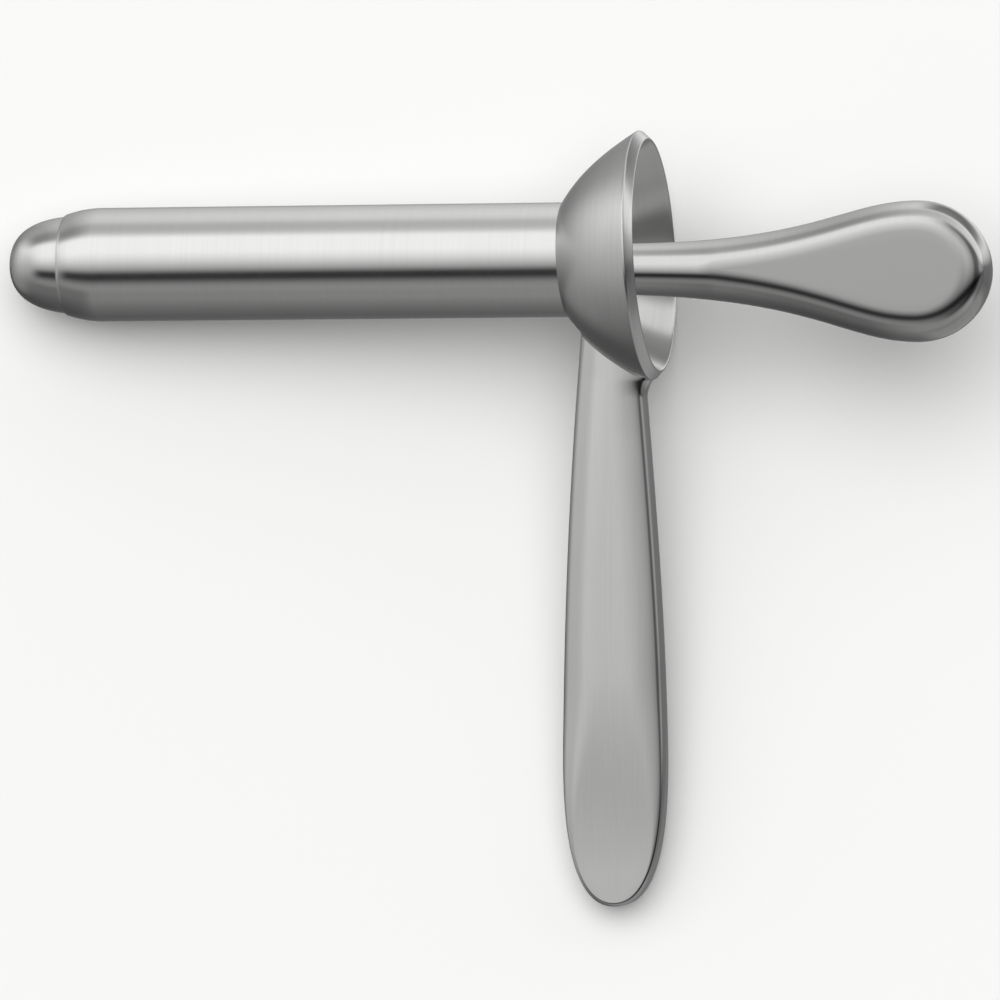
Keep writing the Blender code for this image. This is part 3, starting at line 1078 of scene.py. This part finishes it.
@dataclass
class BrazeFillet:
    """A concave line of braze round the handle's root, where it meets the cup.

    Attributes:
        leg: How far it reaches from the corner, on the handle and on the cup.
        shortest_leg: The same where it has run out, at the rim.
        fade: Over what length along the tube it runs out.
        sink: How deep its hidden sides lie in the steel.
        hollow: How far the face is drawn in to the corner.
        arc_steps: Facets across the face.
    """

    leg: float = 0.0014
    shortest_leg: float = 0.00015
    fade: float = 0.0030
    sink: float = 0.00015
    hollow: float = 0.62
    arc_steps: int = 8

    def root_point(self, column: list[Vector], space: BVHTree) -> tuple[Vector, Vector]:
        """Find where one line down the handle is cut off.

        Args:
            column: The line, from the buried root downwards.
            space: The surface that cuts the handle.

        Returns:
            The place, and the way on down the line from it.
        """
        for upper, lower in zip(column[-2::-1], column[::-1]):
            way = upper - lower
            hit = space.ray_cast(lower, way.normalized(), way.length)[0]
            if hit is not None:
                return hit, -way.normalized()
        nearest = space.find_nearest(column[-1])[0]
        return nearest, Vector((0.0, 0.0, -1.0))

    def foot_point(self, root: Vector, out: Vector, rim_edge: float, cup: BVHTree) -> Vector:
        """Find the fillet's foot on the cup, nearer to the handle where the rim ends the cup.

        Args:
            root: Where the line down the handle is cut off.
            out: The way out from the handle there.
            rim_edge: How far along the tube the cup's rim ends, over the handle.
            cup: The cup's surface.

        Returns:
            The foot.
        """
        share = eased((rim_edge - root.x) / self.fade)
        beside = root + out * (self.shortest_leg + (self.leg - self.shortest_leg) * share)
        return beside.lerp(cup.find_nearest(beside)[0], share)

    def shape(
        self, rings: list[list[Vector]], rim_edge: float, space: BVHTree, cup: BVHTree
    ) -> BMesh:
        """Run the fillet round the root.

        Args:
            rings: The handle's rings at its root.
            rim_edge: How far along the tube the cup's rim ends, over the handle.
            space: The surface that the handle's root is cut by, in the sheath's axes.
            cup: The cup's surface, in the same axes.

        Returns:
            A closed shape like a bent washer.
        """
        count = len(rings[0])
        columns = [[ring[index] for ring in rings] for index in range(count)]
        roots = [self.root_point(column, space) for column in columns]
        middle = sum((point for point, _ in roots), Vector()) / count
        ways = []
        for index, (root, _) in enumerate(roots):
            along = roots[(index + 1) % count][0] - roots[index - 1][0]
            out = Vector((along.y, -along.x, 0.0)).normalized()
            if out.dot(root - middle) < 0:
                out.negate()
            ways.append(out)
        loops: list[list[Vector]] = [[] for _ in range(self.arc_steps + 2)]
        for (root, down), out in zip(roots, ways):
            foot = self.foot_point(root, out, rim_edge, cup)
            leg = (foot - root).length
            inward = -(out - down * out.dot(down)).normalized()
            top = root + down * leg + inward * self.sink
            foot = foot + Vector((0.0, 0.0, self.sink))
            drawn = (top.lerp(root, self.hollow), foot.lerp(root, self.hollow))
            arc = interpolate_bezier(top, *drawn, foot, self.arc_steps + 1)
            deep = root + inward * self.sink + Vector((0.0, 0.0, self.sink))
            for loop, point in zip(loops, [*arc, deep]):
                loop.append(Vector(point))
        return skinned([*loops, loops[0]], False)


@dataclass
class Sheath:
    """The tube, the cup and the handle, brazed into one rigid piece.

    Attributes:
        layout: Where its axes lie.
        finisher: Makes its materials.
        cup: The spun cup.
        tube: The round tube.
        handle: The paddle handle.
        handle_braze: The braze round the handle's root.
    """

    layout: Layout
    finisher: Finisher
    cup: Cup = field(default_factory=Cup)
    tube: Tube = field(default_factory=Tube)
    handle: Handle = field(default_factory=Handle)
    handle_braze: BrazeFillet = field(default_factory=BrazeFillet)

    def build(self) -> None:
        """Build its pieces, dress them and set them on the sheath's body."""
        into_sheath = self.layout.sheath.inverted() @ self.layout.cup
        near_end = self.tube.reach + self.cup.mouth_station()
        tube = self.piece("tube", self.tube.shape(near_end), TURNED_TUBE, "tube_steel")
        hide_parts("sheath_tube")
        cup_shape = self.cup.shape()
        bmesh.ops.transform(cup_shape, matrix=into_sheath, verts=cup_shape.verts)
        surface = BVHTree.FromBMesh(cup_shape)
        cup = self.piece("cup", cup_shape, SPUN_CUP, "cup_steel")
        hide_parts("funnel_cup")
        rings = self.handle.rings(self.cup, Layout.CUP_LEAN)
        space = self.cup.space()
        bmesh.ops.transform(space, matrix=into_sheath, verts=space.verts)
        cut = BVHTree.FromBMesh(space)
        body = without(skinned(rings, True), space)
        handle = self.piece("handle", body, GROUND_HANDLE, "handle_steel")
        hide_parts("sheath_handle")
        root_rings = rings[: self.handle.root_steps() + 1]
        rim_edge = into_sheath @ Vector((self.cup.edge_station, 0.0, -self.cup.edge_radius))
        fillet = self.handle_braze.shape(root_rings, rim_edge.x, cut, surface)
        braze = self.piece("handle_braze", fillet, DRESSED_BRAZE, "cup_steel")
        # On the real one the neck stays bright inside the cup, and the cup is plain over the
        # handle's root, so these three stay out of what the steel mirrors.
        for unseen in (cup, handle, braze):
            unseen.visible_glossy = False

    def piece(self, name: str, shape: BMesh, steel: Steel, slot: str) -> bpy.types.Object:
        """Finish one piece and set it on the sheath's body.

        Args:
            name: Its name.
            shape: Its shape in the sheath's axes, which is used up.
            steel: Its finish.
            slot: The record's material slot; not used.

        Returns:
            The piece.
        """
        piece = placed_object(name, shape, self.layout.sheath, self.finisher.material(steel))
        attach(piece, "sheath")
        LOG.info("sheath: %s, %d faces", name, len(piece.data.polygons))
        return piece


@dataclass
class Nose:
    """The bullet nose: blunt tip, long taper, guide land, chamfered tail and rod socket.

    Attributes:
        guide_radius: Radius of the guide land, which fits the bore.
        seat_radius: Radius at which the taper closes the tube's lip.
        taper_length: Length of the taper.
        taper_power: How late the taper begins to close.
        bluntness: How blunt the tip is.
        guide_length: Length of the guide land.
        tail_chamfer: Chamfer behind it.
        tip_crowding: How much closer the rings lie towards the tip.
        tip_relief: How much is polished off the tip.
        relief_fade: How soon that dies out behind the tip.
        facets: Facets round the nose.
        steps: Rings of the taper.
    """

    guide_radius: float = 0.0097
    seat_radius: float = 0.00942
    taper_length: float = 0.0200
    taper_power: float = 3.2
    bluntness: float = 2.47
    guide_length: float = 0.0045
    tail_chamfer: float = 0.0015
    tip_crowding: float = 1.5
    tip_relief: float = 0.00012
    relief_fade: int = 8
    facets: int = 192
    steps: int = 60

    def radius(self, depth: float) -> float:
        """Return its radius at a distance behind the tip."""
        left = 1 - depth / self.taper_length
        return self.guide_radius * (1 - left**self.taper_power) ** (1 / self.bluntness)

    def standout(self) -> float:
        """Return how far the tip stands out of the lip."""
        fill = 1 - (self.seat_radius / self.guide_radius) ** self.bluntness
        return self.taper_length * (1 - fill ** (1 / self.taper_power))

    def tail(self) -> float:
        """Return the station of its rear face."""
        return self.taper_length + self.guide_length + self.tail_chamfer - self.standout()

    def shape(self, bore: float, bore_depth: float) -> BMesh:
        """Turn the nose.

        Args:
            bore: Radius of its socket.
            bore_depth: Depth of its socket.

        Returns:
            The nose, in the obturator's axes.
        """
        tip = -self.standout()
        tail = self.tail()
        socket_end = tail - bore_depth
        profile = [(0.0, socket_end), (bore, socket_end), (bore, tail)]
        profile.append((self.guide_radius - self.tail_chamfer, tail))
        profile.append((self.guide_radius, tail - self.tail_chamfer))
        for step in range(self.steps):
            share = math.cos(math.pi / 2 * step / self.steps) ** self.tip_crowding
            depth = self.taper_length * share
            relief = self.tip_relief * (1 - share) ** self.relief_fade
            profile.append((self.radius(depth), tip + depth + relief))
        profile.append((0.0, tip + self.tip_relief))
        return turned(profile, False, self.facets)


@dataclass
class Rod:
    """The round rod, turned down to a tenon at each end.

    Attributes:
        radius: Radius of the rod.
        tenon_radius: Radius of each tenon.
        tenon_length: Length of each tenon.
        chamfer: Chamfer of the shoulders and of the tenons' ends.
        facets: Facets round the rod.
    """

    radius: float = 0.0040
    tenon_radius: float = 0.0024
    tenon_length: float = 0.0070
    chamfer: float = 0.0005
    facets: int = 96

    def shape(self, far: float, near: float) -> BMesh:
        """Turn the rod.

        Args:
            far: Station of its shoulder at the nose.
            near: Station of its shoulder at the grip.

        Returns:
            The rod, in the obturator's axes.
        """
        half = [
            (self.radius, self.chamfer),
            (self.radius - self.chamfer, 0.0),
            (self.tenon_radius, 0.0),
            (self.tenon_radius, self.chamfer - self.tenon_length),
            (self.tenon_radius - self.chamfer, -self.tenon_length),
            (0.0, -self.tenon_length),
        ]
        profile = [(radius, near - inset) for radius, inset in reversed(half)]
        profile += [(radius, far + inset) for radius, inset in half]
        return turned(profile, False, self.facets)


@dataclass
class Grip:
    """The grip: a round bar that swells to a flat teardrop, its neck bored for the tenon.

    Attributes:
        mouth: Station of the cup's mouth.
        neck_inset: How far the neck goes in behind it.
        neck_radius: Radius of the neck.
        neck_chamfer: Chamfer round the neck's end.
        standout: How far the grip stands out of the mouth.
        half_width: Half its width where it is widest.
        widest_from_end: Distance from its end to there.
        thickness: Thickness of its flat.
        shoulder_turn: How far the shoulder between the edge and the flat turns.
        neck_ease: How far the sides run on straight from the neck.
        belly_ease: How far they do so from the widest place towards the neck.
        end_fullness: How far they do so towards the end.
        end_bluntness: How blunt the end is.
        steps: Rings from the neck to the widest place, and from there to the end.
        across: Facets across each face.
    """

    mouth: float = 0.1158
    neck_inset: float = 0.0100
    neck_radius: float = 0.0049
    neck_chamfer: float = 0.0008
    standout: float = 0.06538
    half_width: float = 0.01345
    widest_from_end: float = 0.0143
    thickness: float = 0.0118
    shoulder_turn: float = math.radians(45)
    neck_ease: float = 0.67
    belly_ease: float = 0.24
    end_fullness: float = 0.6
    end_bluntness: float = 0.5
    steps: tuple[int, ...] = (72, 64)
    across: int = 8

    def neck(self) -> float:
        """Return the station where the neck ends inside the cup."""
        return self.mouth - self.neck_inset

    def side(self) -> list[tuple[Vector, Vector]]:
        """Work out one side.

        Returns:
            What side_points gives for it.
        """
        neck = self.neck() + self.neck_chamfer
        end = self.mouth + self.standout
        belly = end - self.widest_from_end
        leave = (belly - neck) * self.neck_ease
        arrive = (belly - neck) * self.belly_ease
        end_side = self.widest_from_end * self.end_fullness
        knots = [
            knot(neck, self.neck_radius, 0.0, leave, leave),
            knot(belly, self.half_width, 0.0, arrive, end_side),
            tip_knot(end, self.half_width * self.end_bluntness),
        ]
        return side_points(knots, self.steps, 0)

    def shape(self, bore: float, bore_depth: float) -> BMesh:
        """Skin the grip.

        Args:
            bore: Radius of its socket.
            bore_depth: Depth of its socket.

        Returns:
            The grip, in the obturator's axes.
        """
        edge_round = self.thickness / 2
        section = EdgeSection(edge_round, edge_round, self.shoulder_turn).points()
        neck = self.neck()
        bars = [
            (neck + bore_depth, bore),
            (neck, bore),
            (neck, self.neck_radius - self.neck_chamfer),
        ]
        edges: list[Edge] = []
        for station, radius in bars:
            fit = radius / edge_round
            edges.append((Vector((station, radius)), Vector((0.0, -1.0)), fit, fit))
        side = self.side()
        edges += fitted(side, [section[-1][0]] * len(side), False)
        return skinned([plate_ring(edge, edge, section, self.across) for edge in edges], True)


@dataclass
class Obturator:
    """The nose, the rod and the grip, which slide out of the sheath together.

    Attributes:
        layout: Where its axes lie.
        finisher: Makes its materials.
        nose: The bullet nose.
        rod: The rod.
        grip: The teardrop grip.
        braze_gap: Room for the braze round each tenon and at each shoulder.
    """

    layout: Layout
    finisher: Finisher
    nose: Nose = field(default_factory=Nose)
    rod: Rod = field(default_factory=Rod)
    grip: Grip = field(default_factory=Grip)
    braze_gap: float = 0.0003

    def build(self) -> None:
        """Build its pieces, dress them and set them on the obturator's body."""
        bore = self.rod.tenon_radius + self.braze_gap
        bore_depth = self.rod.tenon_length + self.braze_gap
        nose = self.piece("nose", self.nose.shape(bore, bore_depth), MOPPED_NOSE, "nose_steel")
        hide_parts("obturator_nose")
        far = self.nose.tail() + self.braze_gap
        near = self.grip.neck() - self.braze_gap
        rod = self.piece("rod", self.rod.shape(far, near), DRAWN_ROD, "rod_steel")
        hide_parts("obturator_rod")
        grip = self.piece("grip", self.grip.shape(bore, bore_depth), FLATTED_GRIP, "grip_steel")
        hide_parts("obturator_grip")

    def piece(self, name: str, shape: BMesh, steel: Steel, slot: str) -> bpy.types.Object:
        """Finish one piece and set it on the obturator's body.

        Args:
            name: Its name.
            shape: Its shape in the obturator's axes, which is used up.
            steel: Its finish.
            slot: The record's material slot; not used.

        Returns:
            The piece.
        """
        piece = placed_object(name, shape, self.layout.obturator, self.finisher.material(steel))
        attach(piece, "obturator")
        LOG.info("obturator: %s, %d faces", name, len(piece.data.polygons))
        return piece


# Studio


class Measure(Enum):
    """What a direction in the light tent is measured by.

    ALONG, FACING and AWAY run from -1 to 1, ROUND in degrees from -180 to 180: 0 is FACING's way
    and 90 is AWAY's. LEAN is ALONG on the nose's side. On the grip's side it is how far the way
    turns off FACING's, so that its levels run in rings there.
    """

    ALONG = "towards the grip"
    FACING = "the way that the handle's upper face looks"
    AWAY = "away from the handle"
    ROUND = "angle round the tube"
    LEAN = "towards the grip, then in rings"

    def limits(self) -> Point:
        """Return its lowest and highest value."""
        return (-180.0, 180.0) if self is Measure.ROUND else (-1.0, 1.0)


Ways = dict[Measure, bpy.types.NodeSocket]


@dataclass(frozen=True)
class Border:
    """A soft border between two parts of the tent.

    Attributes:
        measure: What it is measured by.
        start: Where the first part begins to give way.
        full: Where the second has taken over, above or below start.
    """

    measure: Measure
    start: float
    full: float

    def passed(self, tree: bpy.types.NodeTree, ways: Ways) -> bpy.types.NodeSocket:
        """Add the border's soft step.

        Args:
            tree: The world's node tree.
            ways: The measures of a direction.

        Returns:
            How far the border is passed, from 0 to 1.
        """
        reach = {
            "interpolation_type": "SMOOTHSTEP",
            "From Min": self.start,
            "From Max": self.full,
        }
        step = add_node(tree, "ShaderNodeMapRange", reach, {"Value": ways[self.measure]})
        return step.outputs["Result"]


class TentPart:
    """One part of the tent, whose brightness depends on direction alone."""

    def brightness(self, tree: bpy.types.NodeTree, ways: Ways) -> bpy.types.NodeSocket:
        """Add the part's nodes.

        Args:
            tree: The world's node tree.
            ways: The measures of a direction.

        Returns:
            The part's brightness.
        """
        raise NotImplementedError


@dataclass(frozen=True)
class Cloth(TentPart):
    """Cloth whose brightness follows one measure.

    Attributes:
        measure: The measure.
        levels: Points of (place on the measure, brightness), in order.
    """

    measure: Measure
    levels: tuple[Point, ...]

    def brightness(self, tree: bpy.types.NodeTree, ways: Ways) -> bpy.types.NodeSocket:
        """Add the cloth's ramp, as TentPart says.

        Args:
            tree: The world's node tree.
            ways: The measures of a direction.

        Returns:
            The cloth's brightness.
        """
        low, high = self.measure.limits()
        reach = {"From Min": low, "From Max": high}
        share = add_node(tree, "ShaderNodeMapRange", reach, {"Value": ways[self.measure]})
        ramp = add_node(tree, "ShaderNodeValToRGB", {}, {"Fac": share.outputs["Result"]})
        elements = ramp.color_ramp.elements
        while len(elements) < len(self.levels):
            elements.new(0.5)  # Each is moved to its place below.
        for element, (place, level) in zip(elements, self.levels):
            element.position = (place - low) / (high - low)
            element.color = (level, level, level, 1.0)
        return ramp.outputs["Color"]


@dataclass(frozen=True)
class Join(TentPart):
    """Two parts with soft borders between them.

    Attributes:
        first: The part that shows where no border is passed.
        second: The part that shows where all of them are.
        borders: The borders.
    """

    first: TentPart
    second: TentPart
    borders: tuple[Border, ...]

    def brightness(self, tree: bpy.types.NodeTree, ways: Ways) -> bpy.types.NodeSocket:
        """Add both parts and the mix between them, as TentPart says.

        Args:
            tree: The world's node tree.
            ways: The measures of a direction.

        Returns:
            The brightness of the two together.
        """
        share, *others = [border.passed(tree, ways) for border in self.borders]
        for other in others:
            both = add_node(tree, "ShaderNodeMath", {"operation": "MULTIPLY"}, {0: share, 1: other})
            share = both.outputs["Value"]
        links = {
            MIX_FACTOR: share,
            MIX_FLOAT_A: self.first.brightness(tree, ways),
            MIX_FLOAT_B: self.second.brightness(tree, ways),
        }
        mix = add_node(tree, "ShaderNodeMix", {"data_type": "FLOAT"}, links)
        return mix.outputs[MIX_FLOAT_RESULT]


@dataclass(frozen=True)
class Shaded(TentPart):
    """A part that is dimmed or lifted by the levels of another.

    Attributes:
        part: The part.
        by: The part whose brightness it is multiplied by.
    """

    part: TentPart
    by: TentPart

    def brightness(self, tree: bpy.types.NodeTree, ways: Ways) -> bpy.types.NodeSocket:
        """Add both parts and their product, as TentPart says.

        Args:
            tree: The world's node tree.
            ways: The measures of a direction.

        Returns:
            The brightness of the shaded part.
        """
        links = {0: self.part.brightness(tree, ways), 1: self.by.brightness(tree, ways)}
        product = add_node(tree, "ShaderNodeMath", {"operation": "MULTIPLY"}, links)
        return product.outputs["Value"]


@dataclass
class LightTent:
    """A tent of pale cloth, which lights the instrument and is all that its steel mirrors.

    Attributes:
        layout: Where the sheath's axes lie.
        around: Brightness round the tube: a wide soft light stands above the instrument, with a
            narrow black strip along its lower edge, and a second one beyond the tube.
        along: How that is dimmed towards either end, to a dim card beyond the grip.
        card: The same on the handle's side.
        card_border: Where that side begins.
        wall: The same for the pale wall on the side away from the handle.
        wall_borders: Where the wall begins.
        end: The tent's end beyond the nose.
        end_back: Its lower half, behind the instrument.
        end_back_border: Where the one goes over into the other.
        end_border: Where the tent's end begins.
        table: What shows from below, beyond the cup.
        table_borders: Where that begins.
        ring_border: Where LEAN goes over from ALONG to rings.
    """

    layout: Layout
    around: Cloth = Cloth(Measure.ROUND, (
        (-180, 0.20), (-135, 0.18), (-110, 0.25), (-92, 0.33), (-77, 0.41), (-55, 0.41),
        (-44, 0.32), (-36, 0.15), (-31, 0.04), (-22, 0.04), (-17, 0.26), (-12, 0.50),
        (0, 0.88), (7, 1.08), (14, 1.25), (24, 1.42), (54, 1.42), (64, 0.95), (72, 0.78),
        (84, 0.78), (97, 1.08), (108, 1.14), (120, 1.08), (145, 0.80), (165, 0.45), (180, 0.20),
    ))
    along: Cloth = Cloth(Measure.LEAN, (
        (-1.0, 0.80), (-0.8, 0.90), (-0.6, 1.0), (-0.19, 1.0), (0.16, 0.86), (0.34, 0.76),
        (0.53, 0.66), (0.66, 0.56), (0.78, 0.40), (0.85, 0.14), (0.95, 0.14), (0.98, 0.38),
        (1.0, 0.40),
    ))
    card: Cloth = Cloth(Measure.ALONG, (
        (-1.0, 0.70), (-0.6, 0.52), (-0.4, 0.52), (-0.15, 0.96), (0.0, 1.0), (0.5, 1.0),
        (0.8, 1.2), (0.93, 0.6), (1.0, 0.6),
    ))
    card_border: Border = Border(Measure.ROUND, start=-46, full=-66)
    wall: Cloth = Cloth(Measure.ALONG, (
        (-1.0, 0.40), (-0.5, 0.48), (-0.3, 0.78), (-0.16, 1.0), (0.4, 1.2), (0.7, 1.5),
        (1.0, 1.5),
    ))
    wall_borders: tuple[Border, ...] = (
        Border(Measure.ROUND, start=50, full=72),
        Border(Measure.AWAY, start=0.08, full=0.28),
    )
    end: Cloth = Cloth(Measure.AWAY, (
        (-1.0, 0.20), (-0.7, 0.20), (-0.45, 0.36), (-0.2, 0.56), (0.0, 0.70), (0.2, 0.90),
        (0.45, 1.20), (0.6, 1.00), (0.8, 0.60), (1.0, 0.50),
    ))
    end_back: Cloth = Cloth(Measure.AWAY, ((-1.0, 0.28), (1.0, 0.28)))
    end_back_border: Border = Border(Measure.FACING, start=-0.75, full=0.30)
    end_border: Border = Border(Measure.ALONG, start=-0.62, full=-0.85)
    table: Cloth = Cloth(Measure.AWAY, (
        (-1.0, 0.40), (-0.45, 0.43), (-0.32, 0.28), (-0.2, 0.22), (0.10, 0.26), (0.22, 0.85),
        (0.35, 1.20), (0.46, 0.90), (0.56, 0.45), (0.70, 0.26), (1.0, 0.40),
    ))
    table_borders: tuple[Border, ...] = (
        Border(Measure.FACING, start=0.0, full=-0.18),
        Border(Measure.ALONG, start=-0.15, full=0.15),
    )
    ring_border: Border = Border(Measure.ALONG, start=0.0, full=0.40)

    def build(self) -> None:
        """Light the instrument with the tent."""
        world = bpy.data.worlds.new("light_tent")
        world.use_nodes = True
        bpy.context.scene.world = world
        tree = world.node_tree
        brightness = self.whole().brightness(tree, self.measures(tree))
        background = tree.nodes["Background"]
        background.inputs["Color"].default_value = linear("#FFFFFF")
        tree.links.new(brightness, background.inputs["Strength"])
        LOG.info("studio: light tent")

    def whole(self) -> TentPart:
        """Sew the tent together.

        Returns:
            The whole tent as one part.
        """
        sides = Join(self.along, self.card, (self.card_border,))
        sides = Join(sides, self.wall, self.wall_borders)
        end = Join(self.end_back, self.end, (self.end_back_border,))
        tent = Join(Shaded(self.around, sides), end, (self.end_border,))
        return Join(tent, self.table, self.table_borders)

    def measures(self, tree: bpy.types.NodeTree) -> Ways:
        """Add the nodes that measure a direction.

        Args:
            tree: The world's node tree.

        Returns:
            The output of each measure.
        """
        way = add_node(tree, "ShaderNodeTexCoord", {}, {}).outputs["Generated"]
        axes = {
            Measure.ALONG: self.layout.direction(1.0, 0.0, 0.0),
            Measure.FACING: self.layout.direction(0.0, -1.0, 0.0),
            Measure.AWAY: self.layout.direction(0.0, 0.0, 1.0),
        }
        ways: Ways = {}
        for measure, axis in axes.items():
            dot = {"operation": "DOT_PRODUCT", 1: axis}
            ways[measure] = add_node(tree, "ShaderNodeVectorMath", dot, {0: way}).outputs["Value"]
        along, facing, away = ways.values()
        turn = add_node(tree, "ShaderNodeMath", {"operation": "ARCTAN2"}, {0: away, 1: facing})
        turn = turn.outputs["Value"]
        degrees = add_node(tree, "ShaderNodeMath", {"operation": "DEGREES"}, {0: turn})
        ways[Measure.ROUND] = degrees.outputs["Value"]
        flat = add_node(tree, "ShaderNodeCombineXYZ", {}, {"X": along, "Y": away}).outputs["Vector"]
        ring = add_node(tree, "ShaderNodeVectorMath", {"operation": "LENGTH"}, {0: flat})
        links = {
            MIX_FACTOR: self.ring_border.passed(tree, ways),
            MIX_FLOAT_A: along,
            MIX_FLOAT_B: ring.outputs["Value"],
        }
        lean = add_node(tree, "ShaderNodeMix", {"data_type": "FLOAT"}, links)
        ways[Measure.LEAN] = lean.outputs[MIX_FLOAT_RESULT]
        return ways


@dataclass
class Studio:
    """The floor, the lamp over it and the camera.

    Attributes:
        layout: Where the sheath's axes lie.
        lens_mm: The camera's focal length.
        sensor_mm: The side of its square sensor.
        camera_distance: Its distance from the target.
        camera_yaw: How far it stands round towards the grip.
        camera_roll: How far it is turned about its own axis.
        clip_start: Nearest distance that it sees.
        clip_end: Furthest distance that it sees.
        target: The point in the sheath's axes at the middle of the picture.
        floor_half: Half the floor's side.
        floor_drop: How far the floor lies below the instrument.
        floor_colour: The floor's colour, as an sRGB hex value.
        floor_roughness: The floor's roughness.
        lamp_size: Diameter of the lamp.
        lamp_height: Its height over the floor.
        lamp_back: How far it hangs back, on the side away from the handle.
        lamp_watts: Its power.
    """

    layout: Layout
    lens_mm: float = 281.2
    sensor_mm: float = 36.0
    camera_distance: float = 1.5
    camera_yaw: float = math.radians(11.7)
    camera_roll: float = math.radians(0.25)
    clip_start: float = 0.05
    clip_end: float = 50.0
    target: tuple[float, float, float] = (0.0856, 0.0, -0.0460)
    floor_half: float = 8.0
    floor_drop: float = 0.0001
    floor_colour: str = "#E9E9E8"
    floor_roughness: float = 0.9
    lamp_size: float = 3.0
    lamp_height: float = 2.2
    lamp_back: float = 0.35
    lamp_watts: float = 36.0

    def build(self) -> None:
        """Build the floor, the lamp and the camera."""
        self.build_floor()
        self.build_lamp()
        self.build_camera()

    def build_floor(self) -> None:
        """Lay a pale matt floor. It stays out of the steel, which mirrors the tent alone."""
        shape = bmesh.new()
        bmesh.ops.create_grid(shape, x_segments=1, y_segments=1, size=self.floor_half)
        bmesh.ops.translate(shape, vec=(0.0, 0.0, -self.floor_drop), verts=shape.verts)
        mesh = bpy.data.meshes.new("floor")
        shape.to_mesh(mesh)
        shape.free()
        material = bpy.data.materials.new("pale_matt_paper")
        material.use_nodes = True
        shader = material.node_tree.nodes["Principled BSDF"]
        shader.inputs["Base Color"].default_value = linear(self.floor_colour)
        shader.inputs["Roughness"].default_value = self.floor_roughness
        shader.inputs["Specular IOR Level"].default_value = 0.0
        mesh.materials.append(material)
        floor = bpy.data.objects.new("floor", mesh)
        floor.visible_glossy = False
        bpy.context.scene.collection.objects.link(floor)
        LOG.info("studio: floor")

    def build_lamp(self) -> None:
        """Hang one large soft lamp over the table, for the floor and its shadow."""
        light = bpy.data.lights.new("overhead_softbox", "AREA")
        light.shape = "DISK"
        light.size = self.lamp_size
        light.energy = self.lamp_watts
        lamp = bpy.data.objects.new("overhead_softbox", light)
        lamp.location = (0.0, self.lamp_back, self.lamp_height)
        lamp.rotation_euler = (-lamp.location).to_track_quat("-Z", "Y").to_euler()
        lamp.visible_camera = False
        lamp.visible_glossy = False
        bpy.context.scene.collection.objects.link(lamp)
        LOG.info("studio: lamp")

    def build_camera(self) -> None:
        """Set the camera where the photograph was taken from."""
        aim = self.layout.sheath @ Vector(self.target)
        back = self.layout.direction(math.sin(self.camera_yaw), -math.cos(self.camera_yaw), 0.0)
        side = self.layout.direction(math.cos(self.camera_yaw), math.sin(self.camera_yaw), 0.0)
        level_up = self.layout.direction(0.0, 0.0, 1.0)
        up = level_up * math.cos(self.camera_roll) + side * math.sin(self.camera_roll)
        turn = Matrix((up.cross(back), up, back)).transposed().to_4x4()
        data = bpy.data.cameras.new("camera")
        data.lens = self.lens_mm
        data.sensor_width = self.sensor_mm
        data.sensor_height = self.sensor_mm
        data.clip_start = self.clip_start
        data.clip_end = self.clip_end
        camera = bpy.data.objects.new("camera", data)
        camera.matrix_world = Matrix.Translation(aim + back * self.camera_distance) @ turn
        bpy.context.scene.collection.objects.link(camera)
        bpy.context.scene.camera = camera
        LOG.info("studio: camera")


def main() -> None:
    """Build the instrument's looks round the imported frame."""
    logging.basicConfig(level=logging.INFO, format="%(name)s: %(message)s")
    for thing in list(bpy.data.objects):
        bpy.data.objects.remove(thing, do_unlink=True)
    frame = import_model()
    layout = Layout.from_record(frame["record"])
    finisher = Finisher(layout)
    Sheath(layout, finisher).build()
    Obturator(layout, finisher).build()
    Studio(layout).build()
    LightTent(layout).build()
    bpy.context.scene.view_settings.view_transform = "Standard"


if __name__ == "__main__":
    main()
